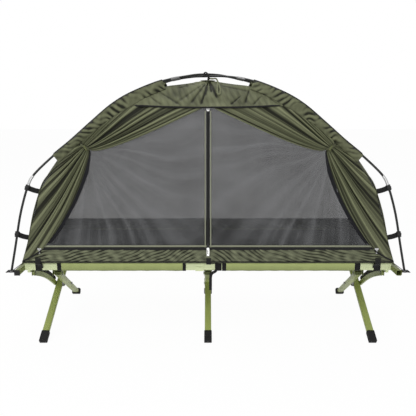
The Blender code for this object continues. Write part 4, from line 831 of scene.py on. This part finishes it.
def sleeveRelief(run, across, seed):
    # narrow valleys across the slant, strong in some places and missing in others
    along, over = sleeves["slant"]
    bent = (along * run + over * across) / sleeves["pitch"] * fullTurn
    bent = bent + 2.6 * waves(run, across, 0.11, seed, 2)
    strong = np.clip(0.45 + 0.9 * waves(run, across * 1.4, 0.13, seed + 40, 2), 0, 1)
    strong = strong * np.clip(run / 0.16 + 0.15, 0, 1)
    valleys = sleeves["valley"] * strong * (humps(bent) ** 1.5 - 0.18)
    return np.clip(0.52 - valleys + 0.14 * waves(run, across, 0.05, seed + 80, 2), 0, 1)


def makeSleeves():
    for xSide, ySide, xName, yName in corners:
        name = yName.title() + xName.title()
        pole = sleevePole(xSide, ySide)
        front = np.array((0, ySide, sleeves["doorSlope"])) / np.hypot(1, sleeves["doorSlope"])
        stitched = sleeveStitching(xSide, ySide)
        outer = pole - stitched
        outer = unit(outer - front * (outer @ front)[:, None])
        grid, ways = sleevePoints(stitched, pole, sleeveSeam(xSide, ySide, pole), front, outer)
        column = np.arange(grid.shape[1])[None]
        across = column / column[0, -1] * sleeves["width"]
        relief = sleeveRelief(arcLength(pole)[::-1, None], across, 200 + 3 * xSide + ySide)
        ends = np.clip(np.minimum(column, column[:, ::-1]) / 2, 0, 1)
        rim = bell(column - sleeves["rimAt"], sleeves["rimWide"])
        # painted shade: darker along the rim round the pole, and also at both long edges
        relief = relief * (0.30 + 0.70 * ends) * (1 - sleeves["rimDeep"] * rim)
        grid = grid + ways * ((relief - 0.4) * ends * (1 - rim) * sleeves["fold"])[:, :, None]
        piece = mesh("sleeve" + name, grid, wall=sleeves["wall"], relief=relief)
        place(piece, "tentCloth", "end_wall_" + xName)
        edge = pole + outer * sleeves["edgeOut"] + front * sleeves["edgeFront"]
        place(tube("sleeveEdge" + name, edge[::4], sleeves["edge"], 8), "zip")


makeSleeves()
print("sleeves made")


# clips: a hook round the pole and the short webbing that holds the wall to it

clips = {
    "shares": (0.905, 0.967), "long": 0.026, "radius": 0.0115, "below": 0.006,
    "strap": (0.024, 0.0090), "strapDrop": 0.024, "sag": 0.003, "inWall": 0.004,
}


def makeClips():
    for xSide, ySide, xName, yName in corners:
        line = poleHalf(xSide, ySide, 400)
        for k, at in enumerate(clips["shares"]):
            name = f"{yName.title()}{xName.title()}{k}"
            step = int(np.argmin(np.abs(poleShare(line) - at + clips["below"])))
            middle, ahead = line[step], unit(line[step + 1] - line[step - 1])
            run = np.linspace(-0.5, 0.5, 9)[:, None]
            grow = 1 + 0.12 * np.cos(run * np.pi * 4)
            grow[[0, -1]] *= 0.75
            hook = tube("clipHook" + name, middle + ahead * run * clips["long"], clips["radius"], grow=grow)
            place(hook, "plastic", "end_wall_" + xName)
            z = middle[2] - clips["strapDrop"]
            reach = float(seamX(z)) - clips["inWall"]
            foot = np.array((xSide * reach, ySide * (sideShare * reach - clips["inWall"]), z))
            path = np.linspace(middle, foot, 9)
            path[:, 2] -= clips["sag"] * np.sin(np.linspace(0, np.pi, 9))
            place(webbing("clipStrap" + name, path, clips["strap"], ahead), "webbing")


makeClips()
print("clips made")


# door flaps, tied back in two fans of folds: each fold runs from the tie to a line along its far edge

flap = {
    "columns": 241, "rows": 91, "lift": 0.0030, "fold": 0.0150, "thick": 0.0011, "contrast": 1.30,
    "gentle": 1.5, "steep": 0.95, "lining": 0.019, "liningOff": 0.0018, "liningWall": 0.0008,
    "hem": (0.0075, 0.0020), "hemOff": 0.0090,
    # the fans' lines in front of the right flap: x, z; the left flap is their mirror image
    "upperNear": ((0.560, 0.9665), (0.601, 0.990)), "lowerNear": ((0.5652, 0.960), (0.600, 0.982)),
    "upperFar": ((0.0202, 1.1600), (0.351, 1.1720), (0.4335, 1.1300), (0.5151, 1.0722), (0.5954, 1.0091)),
    "lowerFar": (
        (0.768, 0.531), (0.796, 0.495), (0.842, 0.466), (0.888, 0.443), (0.869, 0.500), (0.838, 0.6124),
        (0.811, 0.7005), (0.791, 0.7782), (0.7474, 0.8478), (0.7008, 0.9073), (0.665, 0.945), (0.617, 0.986),
    ),
    # how the free edge bows: by how much in x and z, and the powers that shape the bow
    "upperBow": (0, -0.029, 0.55, 1.0), "lowerBow": (-0.035, 0, 1.0, 0.75),
    # valleys of the left and of the right flap: share along the far line, width, depth
    "upperValleys": (
        ((0.055, 0.010, 0.60), (0.125, 0.008, 0.45), (0.200, 0.014, 0.85), (0.285, 0.022, 0.80),
         (0.360, 0.014, 0.55), (0.475, 0.028, 1.10), (0.560, 0.008, 0.45), (0.630, 0.014, 0.80),
         (0.740, 0.011, 0.60), (0.860, 0.022, 0.90)),
        ((0.050, 0.009, 0.60), (0.130, 0.012, 0.55), (0.190, 0.008, 0.35), (0.260, 0.014, 0.60),
         (0.385, 0.015, 1.15), (0.420, 0.010, 0.50), (0.555, 0.018, 0.90), (0.680, 0.013, 0.80),
         (0.780, 0.012, 0.60), (0.885, 0.020, 0.90)),
    ),
    "lowerValleys": (
        ((0.020, 0.010, 0.60), (0.060, 0.014, 0.40), (0.150, 0.010, 0.25), (0.270, 0.022, 0.75),
         (0.360, 0.012, 0.30), (0.500, 0.040, 1.05), (0.640, 0.012, 0.30), (0.790, 0.035, 0.85),
         (0.900, 0.020, 0.60)),
        ((0.018, 0.009, 0.60), (0.070, 0.018, 0.60), (0.130, 0.010, 0.30), (0.300, 0.020, 0.80),
         (0.390, 0.012, 0.40), (0.540, 0.036, 1.00), (0.680, 0.012, 0.30), (0.810, 0.032, 0.85),
         (0.910, 0.020, 0.60)),
    ),
}
ties = {
    "off": 0.011, "reach": (0.0215, 0, 0.0125), "deep": (0, -0.0115, 0.001), "band": (0.010, 0.0022),
    "toggle": 0.0045, "toggleHalf": (0.0060, 0, 0.0120), "toggleAt": (-0.004, -0.0150, -0.003),
}


def fanFolds(across, along, valleys, seed):
    # height of the folds, 0 to 1: valleys with a steep and a gentle side, deepest by the tie, and ridges
    wander = across + 0.006 * waves(along, across, 0.8, seed, 2)
    total = 0 * across
    for at, width, depth in valleys:
        away = wander - at
        total = total + depth * bell(away, width * np.where(away < 0, flap["gentle"], flap["steep"]))
    fine = 0.15 * np.cos(wander * 210 + 3 * waves(along, across, 0.6, seed + 7, 2)) * (1 - along) ** 0.5
    ripple = 0.20 * np.sin(44 * wander + 2 * np.sin(9 * wander) + seed) + 0.16 * np.sin(103 * wander + seed)
    return np.clip(0.60 - 0.90 * total * (1 - 0.25 * along) + fine + ripple, 0, 1)


def makeFan(name, kind, side, seed, node):
    # straight lines from the near to the far line, bowed at the free edge, lifted off the door by the folds
    bowX, bowZ, lean, fullness = flap[kind + "Bow"]
    u, v = np.meshgrid(np.linspace(0, 1, flap["columns"]), np.linspace(0, 1, flap["rows"]))
    start, end = (evenly(flap[kind + line], flap["columns"]) for line in ("Near", "Far"))
    bow = (1 - u) ** 2 * np.sin(np.pi * v ** lean) ** fullness
    x = start[:, 0] + (end[:, 0] - start[:, 0]) * v + bowX * bow
    z = start[:, 1] + (end[:, 1] - start[:, 1]) * v + bowZ * bow
    relief = fanFolds(u, v, flap[kind + "Valleys"][(side + 1) // 2], seed)
    swell = 0.30 + 0.70 * np.sin(np.pi * v ** 0.7)
    edge = np.clip(np.minimum(u, 1 - u) / 0.02, 0.25, 1)
    grid = doorPoints(side * x, z, -1, flap["lift"] + flap["fold"] * relief * swell * edge)
    # painted shade under the hood's edge, and where the folds are squeezed together at the tie; the colour's
    # relief is raised to a power for deeper painted shade in the valleys
    shade = 1 - 0.75 * bell(1 - v, 0.035) * (kind == "upper") * (u < 0.53) - 0.35 * bell(v, 0.05)
    cloth(name + "Flap" + kind.title(), grid, "tentCloth", node, held="gathered", wall=flap["thick"],
          relief=relief ** flap["contrast"] * shade)
    return grid


def makeFlaps():
    hemLine = smoothThrough(flap["lowerFar"][1:4], 30)
    for side, name in sides:
        node = "door_flap_" + name
        makeFan(name, "upper", side, 101 + side, node)
        grid = makeFan(name, "lower", side, 111 + side, node)
        # the lining that shows beside the lower fan's free edge
        edge, v = grid[:, 1], np.linspace(0, 1, flap["rows"])[:, None]
        wide = flap["lining"] * np.clip(0.25 + v / 0.3, 0, 1) * np.linspace(-0.2, 1, 7)[None]
        x, z = np.abs(edge[:, :1]) - wide, edge[:, 2:] + 0 * wide
        lining = doorPoints(side * x, z, -1, flap["liningOff"] + 0.0008 * np.sin(v * 40 + wide * 90))
        cloth(name + "FlapLining", lining, "lining", node, wall=flap["liningWall"])
        hem = doorPoints(side * hemLine[:, 0], hemLine[:, 1] - 0.001, -1, flap["hemOff"])
        place(webbing(name + "FlapHem", hem, flap["hem"], (0, 0, 1)), "zip", node)
        makeTie(side, name, node)


def makeTie(side, name, node):
    # a loop of webbing round the gathered cloth, and the toggle through it
    mirror = np.array((side, 1, 1))
    centre = doorPoints(side * tent["tieX"], tent["tieZ"] - 0.001, -1, ties["off"])
    turn = np.linspace(0, 2 * np.pi, 40, endpoint=False)[:, None]
    ring = np.cos(turn) * mirror * ties["reach"] + np.sin(turn) * ties["deep"]
    loop = webbing(name + "TieLoop", centre + ring, ties["band"], (0.50 * side, 0, -0.86), True)
    place(loop, "tentCloth", node)
    run = np.linspace(-1, 1, 25)[:, None]
    path = centre + mirror * ties["toggleAt"] + run * mirror * ties["toggleHalf"]
    grow = 1 - 0.25 * np.abs(run) ** 4 + 0.10 * np.cos(run * 9)
    grow[[0, -1]] *= 0.55
    place(tube(name + "Toggle", path, ties["toggle"], grow=grow), "olivePlastic", node)


makeFlaps()
print("door flaps made")


# zips: tape, a spiral of teeth as a fine ridge, and beige piping beside the middle one

zips = {
    "tape": (0.014, 0.0010), "reach": 0.797, "tapeY": -0.3395, "teethY": -0.3407, "teeth": 0.00144,
    "pitch": 0.0042, "piping": 0.0030, "pipingX": 0.0130,
    # how far they stand off the door
    "tapeOff": 0.0030, "teethOff": 0.0040, "pipingOff": 0.0028, "pullOff": 0.0085,
    # the middle zip's ends, inside the band and the hood, and its way up
    "foot": 0.006, "head": 0.012, "upwards": (0, 0.23629, 0.97168),
    # width and thickness of a pull and of its slot
    "pull": (0.013, 0.003), "slot": (0.00455, 0.0012), "slotOff": 0.0022,
    # name, height of the middle, length, body
    "pulls": (("middlePull", 0.4870, 0.040, "middle_zip_slider"), ("headPull", 1.1520, 0.022, "tent")),
}


def makeTeeth(name, path):
    # a tube whose radius swells once for every pitch
    grow = 1 + 0.28 * np.sin(arcLength(path)[:, None] / zips["pitch"] * 2 * np.pi)
    place(tube(name, path, zips["teeth"], 8, grow=grow), "plastic", slot="webbing")


def makeZips():
    x = np.linspace(-zips["reach"], zips["reach"], 1200)
    foot = doorPoints(x[::6], tent["bandTop"], -1, zips["tapeOff"])
    foot[:, 1] = np.minimum(foot[:, 1], zips["tapeY"])
    place(webbing("footZipTape", foot, zips["tape"], (0, 0, 1)), "zip", "zip_tapes")
    makeTeeth("footZipTeeth", xyz(x, zips["teethY"], tent["bandTop"]))
    z = np.linspace(tent["bandTop"] + zips["foot"], tent["hoodEdge"] - zips["head"], 520)
    middle = doorPoints(0, z, -1, zips["tapeOff"])
    place(webbing("middleZipTape", middle[::6], zips["tape"], (1, 0, 0)), "zip", "zip_tapes")
    makeTeeth("middleZipTeeth", doorPoints(0, z, -1, zips["teethOff"]))
    for side, name in sides:
        line = doorPoints(side * zips["pipingX"], z[::8], -1, zips["pipingOff"])
        place(tube("middlePiping" + name.title(), line, zips["piping"], 8, sideways=(1, 0, 0)), "piping")


def makePulls():
    # a metal tag under the middle slider and one at the head of the same zip, each with a slot
    for name, z, length, body in zips["pulls"]:
        head = doorPoints(0, z + length / 2, -1, zips["pullOff"])
        centre = head - np.linspace(0, length, 9)[:, None] * zips["upwards"]
        place(webbing(name, centre, zips["pull"], (1, 0, 0)), "silver", body=body)
        line = centre[2:7] - (0, zips["slotOff"], 0)
        place(webbing(name + "Slot", line, zips["slot"], (1, 0, 0)), "plastic", body=body)


makeZips()
makePulls()
print("zips made")


# the bed: canvas between the rails, sleeves and bands round the rails, and a pocket round each end bar

bed = {
    "top": 0.4206, "reach": 0.8935, "columns": 201, "rows": 61, "wall": 0.0012, "sag": 0.0022,
    "wave": 0.0008, "railGap": 0.002, "wrapWall": 0.0009, "corner": 0.005, "shade": 0.36,
    "foldKeep": 0.090, "foldInset": 0.014, "foldZ": 0.421,
    # the pockets' spare width and height, what they leave free at each end of the bar, and their creases
    "pocketSize": (0.0036, 0.0048), "pocketEnd": 0.03, "pocketUp": 0.0006, "pocketCrease": 0.0007,
    # what lies round the rails, with its spans along them
    "Sleeve": {
        "spans": ((-0.7145, -0.1225), (0.088, 0.7145)), "size": 0.0030, "steps": 260, "crease": 0.0009,
        "look": "bedCloth", "seed": 151,
    },
    "Band": {
        "spans": ((-0.735, -0.716), (-0.1235, -0.108), (0.069, 0.0885), (0.716, 0.742)), "size": 0.0042,
        "steps": 12, "crease": 0, "look": "webbing", "seed": 161,
    },
}


def creased(grid, path, height):
    # the points of a sleeve, moved away from its path by a height
    return grid + unit(grid - path[:, None]) * height[:, :, None]


def makeWrap(name, kind, span, side, seed, body):
    # a rounded rectangle carried along X, with shallow slanting creases, and painted shade at its lower edge
    wrap, (low, high) = bed[kind], span
    x = np.linspace(low, high, wrap["steps"])
    path = xyz(x, side * cot["railY"], cot["railTop"] - cot["railHeight"] / 2)
    profile = rounded(cot["railWidth"] + wrap["size"], cot["railHeight"] + wrap["size"], bed["corner"], 5)
    grid = sweep(path, profile, (0, 1, 0))
    x, turn = x[:, None], (np.arange(len(profile)) / len(profile) * fullTurn)[None]
    relief = waves(x, 0.02 * turn, 0.10, seed) * 0.8 + np.sin(x * 90 + turn * 2) * 0.2
    ends = np.minimum(1, np.minimum(x - low, high - x) / 0.02)
    grid = creased(grid, path, relief * ends * wrap["crease"])
    height = (grid[:, :, 2] - cot["railTop"] + cot["railHeight"]) / cot["railHeight"]
    # painted shade: the bottom fifth of the height darkens towards the valley colour
    shade = bed["shade"] * np.clip((height - 0.06) / 0.14, 0, 1)
    piece = mesh(name, grid, True, wall=bed["wrapWall"], outward=-1, relief=shade)
    place(piece, wrap["look"], "bed_canvas", body=body)


def foldWithCot(piece):
    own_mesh(piece)


def makeBed():
    # the canvas sags by a cosine between the rails, with soft waves
    inner = cot["railY"] - cot["railWidth"] / 2 - bed["railGap"]
    across = np.linspace(-1, 1, bed["columns"]) * bed["reach"]
    x, y = np.meshgrid(across, np.linspace(-inner, inner, bed["rows"]))
    slack = np.cos(np.pi * y / (2 * inner)) * fadeOut(np.linspace(0, 1, bed["columns"]), 0.08)[None]
    grid = xyz(x, y, bed["top"] - slack * (bed["sag"] + bed["wave"] * waves(x, y, 0.35, 131)))
    sheet = cloth("bedSheet", grid, "bedCloth", "bed_canvas", body="front_side_rail",
                  restsOn=["front_rail_left", "rear_rail_left"], wall=bed["wall"])
    foldWithCot(sheet)
    wide, high = bed["pocketSize"]
    for side, name in sides:
        y = np.linspace(-1, 1, 90) * (inner - bed["pocketEnd"])
        path = xyz(side * cot["barX"], y, cot["barZ"] + bed["pocketUp"])
        profile = rounded(cot["barSize"] + wide, cot["barSize"] + high, bed["corner"], 5)
        turn = np.arange(len(profile)) / len(profile) * fullTurn
        relief = waves(y[:, None], 0.02 * turn[None], 0.12, 141 + side) * bed["pocketCrease"]
        grid = creased(sweep(path, profile, (1, 0, 0)), path, relief)
        pocket = mesh(name + "BarPocket", grid, True, wall=bed["wrapWall"], outward=-1)
        foldWithCot(place(pocket, "bedCloth", "bed_canvas", body="front_side_rail"))
    for side, name in faces:
        for kind in ("Sleeve", "Band"):
            for k, span in enumerate(bed[kind]["spans"]):
                seed = bed[kind]["seed"] + k + side
                makeWrap(f"{name}Rail{kind}{k}", kind, span, side, seed, name + "_side_rail")


makeBed()
print("bed made")


# straps round the front rail that hold the tent, with a tab up its band

straps = {
    "width": 0.032, "thick": 0.0018, "gap": 0.0030, "corner": 0.0048, "tail": 0.014, "lead": 0.0016,
    # name, node, place of the loop and of the tab along the rail, tab's width, where the tab begins
    "each": (("leftStrap", "strap_left", -0.825, -0.815, 0.026, 0.0),
             ("rightStrap", "strap_right", 0.825, 0.815, 0.026, 0.0),
             ("middleStrap", "strap_middle", 0.050, 0.003, 0.022, 0.42)),
    # the tab: height and distance off the rail's middle, then heights on the band
    "tabOnRail": ((0.398, 0.0160), (0.408, 0.0182), (0.417, 0.0250), (0.4225, 0.0330)),
    "tabOnBand": (0.430, 0.440, 0.450, 0.4584), "tabOff": 0.0062,
    # rows of stitches across the tab: heights, radius, share of the tab's half width, height over its middle
    "stitchAt": (0.4325, 0.4545), "stitch": 0.0005, "stitchShare": 0.84, "stitchOff": 0.0012,
    # from the middle strap's loop to its tab, and its hanging tail
    "leadPoints": ((0.040, -0.3185, 0.4210), (0.022, -0.3240, 0.4215), (0.006, -0.3350, 0.4240)),
    "tailPoints": ((0.045, -0.3195, 0.396), (0.036, -0.3200, 0.381), (0.020, -0.3205, 0.371),
                   (0.0135, -0.3205, 0.355), (0.0125, -0.3200, 0.320), (0.0125, -0.3200, 0.283)),
}


def makeRailStrap(name, node, x, tabX, width, low):
    # a ring of webbing round the rail, a smooth tab up the band, and rows of stitches across it
    gap, rail = straps["gap"], "front_side_rail"
    ring = rounded(cot["railWidth"] + gap, cot["railHeight"] + gap, straps["corner"], 6)
    path = xyz(x, ring[:, 0] - cot["railY"], ring[:, 1] + cot["railTop"] - cot["railHeight"] / 2)
    loop = webbing(name + "Loop", path, (straps["width"], straps["thick"]), (1, 0, 0), True)
    place(loop, "webbing", node, body=rail)
    onRail, onBand = np.array(straps["tabOnRail"]), np.array(straps["tabOnBand"])
    z = np.concatenate((onRail[:, 0], onBand))
    y = np.concatenate((cot["railY"] + onRail[:, 1], doorSurface(tabX, onBand) + straps["tabOff"]))
    path = smoothThrough(xyz(tabX, -y, z)[z >= low], 36)
    place(webbing(name + "Tab", path, (width, straps["thick"]), (1, 0, 0)), "webbing", node, body=rail)
    for k, at in enumerate(straps["stitchAt"]):
        line = tabX + np.linspace(-0.5, 0.5, 24) * width * straps["stitchShare"]
        seam = xyz(line, -(doorSurface(line, at) + straps["tabOff"] + straps["stitchOff"]), at)
        place(tube(f"{name}Stitch{k}", seam, straps["stitch"], 6), "oliveWebbing", body=rail)


def makeStraps():
    for strap in straps["each"]:
        makeRailStrap(*strap)
    lead = tube("middleStrapLead", smoothThrough(straps["leadPoints"], 16), straps["lead"], 8)
    tailLine = smoothThrough(straps["tailPoints"], 60)
    tail = webbing("middleStrapTail", tailLine, (straps["tail"], straps["thick"]), (1, 0, 0))
    for piece in (lead, tail):
        place(piece, "webbing", "strap_middle", body="front_side_rail")


# padded straps on the upper edges of the braces: the brace's bow, moved out along its normal

braceStraps = {"x": 0.8645, "size": (0.026, 0.034), "bow": 0.014, "off": 0.0225, "ripple": 0.0006,
               "from": 0.05, "to": 0.93}


def makeBraceStraps():
    low, high = np.array((0.0, cot["crossZ"])), np.array((-cot["railY"], cot["pivotZ"]))
    along = unit(high - low)
    normal = np.array((along[1], -along[0]))
    share = np.linspace(braceStraps["from"], braceStraps["to"], 60)[:, None]
    line = low + (high - low) * share + normal * braceStraps["bow"] * np.sin(np.pi * share)
    slope = unit(np.gradient(line, axis=0))
    off = braceStraps["off"] + braceStraps["ripple"] * np.sin(share * 40)
    top = line + np.column_stack((slope[:, 1], -slope[:, 0])) * off
    for side, name in sides:
        path = xyz(side * braceStraps["x"], top[:, 0], top[:, 1])
        strap = webbing(name + "BraceStrap", path, braceStraps["size"], (1, 0, 0))
        place(strap, "webbing", "brace_strap_" + name, body="cot_base")


# corner tabs under the pole tips: webbing with an eyelet, and the cord up to the tent's corner

tabs = {
    "fromX": 0.9208, "toX": 0.9612, "z": 0.3981, "size": (0.034, 0.0030), "ripple": 0.0004,
    "eye": 0.0068, "eyeWire": 0.0010, "eyeZ": 0.4002, "cord": 0.0015, "cordTop": 0.430,
    "cordOff": 0.0022, "cordFoot": (0.937, 0.3575, 0.3990),
}


def makeCornerTabs():
    for xSide, ySide, xName, yName in corners:
        name = f"{yName}_{xName}"
        node = "corner_tab_" + name
        x = np.linspace(tabs["fromX"], tabs["toX"], 24)
        path = xyz(xSide * x, ySide * tent["tipY"], tabs["z"] + tabs["ripple"] * np.sin(x * 300))
        place(webbing(name + "Tab", path, tabs["size"], (0, 1, 0)), "webbing", node)
        ring = circle(tabs["eye"], 24) + (xSide * tent["tipX"], ySide * tent["tipY"])
        eye = xyz(ring[:, 0], ring[:, 1], tabs["eyeZ"])
        place(tube(name + "Eyelet", eye, tabs["eyeWire"], 8, looped=True), "ferrule")
        reach = float(seamX(tabs["cordTop"]))
        start = np.array((xSide * (reach + tabs["cordOff"]), ySide * sideShare * reach, tabs["cordTop"]))
        end = np.array(tabs["cordFoot"]) * (xSide, ySide, 1)
        place(tube(name + "Cord", np.linspace(start, end, 12), tabs["cord"], 8), "webbing", node)


makeStraps()
makeBraceStraps()
makeCornerTabs()
print("straps made")


# thick rubber round each rear foot, cut flat where it stands: a rounded rectangle carried along the leg

boots = {
    "long": 0.050, "wide": 0.048, "deep": 0.036, "corner": 0.006, "fromCrossing": 0.350, "endTaper": 0.12,
    "topX": 0.737, "footX": 0.8295, "lowest": 0.0001,
}


def makeBoots():
    for side, name in ((-1, "left"), (0, "middle"), (1, "right")):
        top = np.array((side * boots["topX"], -cot["railY"], cot["pivotZ"]))
        crossing = np.array((side * (boots["topX"] + boots["footX"]) / 2, 0, cot["crossZ"]))
        run = np.linspace(-0.5, 0.5, 13)[:, None]
        path = crossing + unit(crossing - top) * (boots["fromCrossing"] + run * boots["long"])
        profile = rounded(boots["wide"], boots["deep"], boots["corner"])
        grid = sweep(path, profile, (1, 0, 0), 1 - boots["endTaper"] * np.abs(2 * run) ** 8)
        grid[:, :, 2] = np.maximum(grid[:, :, 2], boots["lowest"])
        place(mesh(name + "RearBoot", grid, True, capped=True), "rubber", body="cot_base")


makeBoots()
print("boots made")


# the crossing at the top: a patch under the poles, a ring, its tie, and a hanging loop

crown = {
    "patch": 0.030, "patchLong": 1.3, "patchWall": 0.0010, "patchUp": 0.0012, "ring": 0.0090, "wire": 0.0032,
    "ringAt": (-0.012, -0.013, 1.3235), "tieSize": (0.011, 0.0030), "loopSize": (0.0080, 0.0026),
    # the patch's bend along X and Y: how far down it is at a distance
    "bendX": (0.0035, 0.044), "bendY": (0.007, 0.034),
    "tie": ((-0.004, -0.012, 1.322), (0.003, -0.016, 1.308), (0.002, -0.014, 1.298), (0.003, -0.016, 1.284)),
    # the hanging loop on the hood: x, z and how far it stands off
    "loop": (
        (0.0051, 1.3026, 0.012), (0.0254, 1.3011, 0.014), (0.0407, 1.2902, 0.013), (0.0501, 1.2744, 0.01),
        (0.0571, 1.2539, 0.008), (0.0605, 1.2345, 0.008), (0.0543, 1.2144, 0.009), (0.0467, 1.2249, 0.01),
        (0.0451, 1.249, 0.01), (0.0474, 1.2717, 0.011),
    ),
}


def makeCrown():
    # the patch is a disc bent down by parabolas along and across
    turn = np.linspace(0, 2 * np.pi, 48, endpoint=False)[None]
    radius = np.linspace(0.0004, crown["patch"], 10)[:, None]
    x, y = radius * np.cos(turn) * crown["patchLong"], radius * np.sin(turn)
    (downX, farX), (downY, farY) = crown["bendX"], crown["bendY"]
    z = seamLine[-1, 1] + crown["patchUp"] - downX * (x / farX) ** 2 - downY * (y / farY) ** 2
    patch = mesh("crownPatch", xyz(x, y, z), True, wall=crown["patchWall"])
    place(patch, "tentCloth", "front_hood")
    ring = circle(crown["ring"], 40)
    path = np.array(crown["ringAt"]) + xyz(ring[:, 0], 0, ring[:, 1])
    place(tube("crownRing", path, crown["wire"], 10, looped=True, sideways=(0, 1, 0)), "plastic")
    place(webbing("crownTie", smoothThrough(crown["tie"], 30), crown["tieSize"], (1, 0, 0)), "webbing")
    x, z, out = np.array(crown["loop"]).T
    loop = smoothThrough(doorPoints(x, z, -1, out), 80)
    place(webbing("hangingLoop", loop, crown["loopSize"], (0.9, 0, 0.4)), "loop")


makeCrown()
print("crown made")


# studio: pale floor, white world, camera at the photograph's place

studio = {
    "camera": (0, -2.5512, 1.2045), "pitch": 77.204, "lens": 41.80, "sensor": 36,
    "floor": 14, "floorAt": (0, 3, -0.0004), "floorColour": (0.86, 0.86, 0.86), "whiteShare": 0.97,
    "world": 0.50,
    # lamps, all aimed at the origin: name, place, size, power
    "lamps": (("keyLamp", (-2.2, -2.4, 3.6), 1.6, 80), ("frontLamp", (0.6, -5.0, 0.9), 3.0, 110),
              ("topLamp", (0.0, 0.8, 4.2), 2.0, 50)),
}


def makeFloorAndWorld():
    # both are white to the rays that see the background, and plain grey to the rest
    square = np.array([[(-1, -1, 0), (1, -1, 0)], [(-1, 1, 0), (1, 1, 0)]], float)
    ground = mesh("studioFloor", square * studio["floor"] + studio["floorAt"])
    pale = rgba(studio["floorColour"])
    look = newLook("floorWhite", Base_Color=pale, Roughness=1.0, Specular_IOR_Level=0.0)
    plain, glow = Value(look, look.shader.outputs[0]), look.node("ShaderNodeEmission", {}, {})
    factor = look.whiteRays() * studio["whiteShare"]
    mixed = look.node("ShaderNodeMixShader", {}, {0: factor, 1: plain, 2: glow})
    look.put(look.nodes["Material Output"].inputs[0], mixed)
    ground.data.materials.append(look.made)
    sky = Look(bpy.data.worlds.new("studioWorld"))
    grey, white = [
        sky.node("ShaderNodeBackground", {}, {0: (1, 1, 1, 1), 1: power}) for power in (studio["world"], 1.0)
    ]
    mixed = sky.node("ShaderNodeMixShader", {}, {0: sky.whiteRays(), 1: grey, 2: white})
    sky.put(sky.nodes["World Output"].inputs[0], mixed)
    bpy.context.scene.world = sky.made


def makeLampsAndCamera():
    scene = bpy.context.scene
    for name, spot, size, power in studio["lamps"]:
        lamp = bpy.data.objects.new(name, bpy.data.lights.new(name, "AREA"))
        lamp.data.energy, lamp.data.size = power, size
        lamp.location = spot
        lamp.rotation_euler = (-lamp.location).to_track_quat("-Z", "Y").to_euler()
        scene.collection.objects.link(lamp)
    camera = bpy.data.objects.new("studioCamera", bpy.data.cameras.new("studioCamera"))
    camera.data.lens, camera.data.sensor_width = studio["lens"], studio["sensor"]
    camera.location = studio["camera"]
    camera.rotation_euler = (radians(studio["pitch"]), 0, 0)
    scene.collection.objects.link(camera)
    scene.camera = camera
    scene.view_settings.view_transform = "Standard"


makeFloorAndWorld()
makeLampsAndCamera()
print("studio made")

for name, size in sorted(flatSizes.items()):
    print("cut", name, *size)
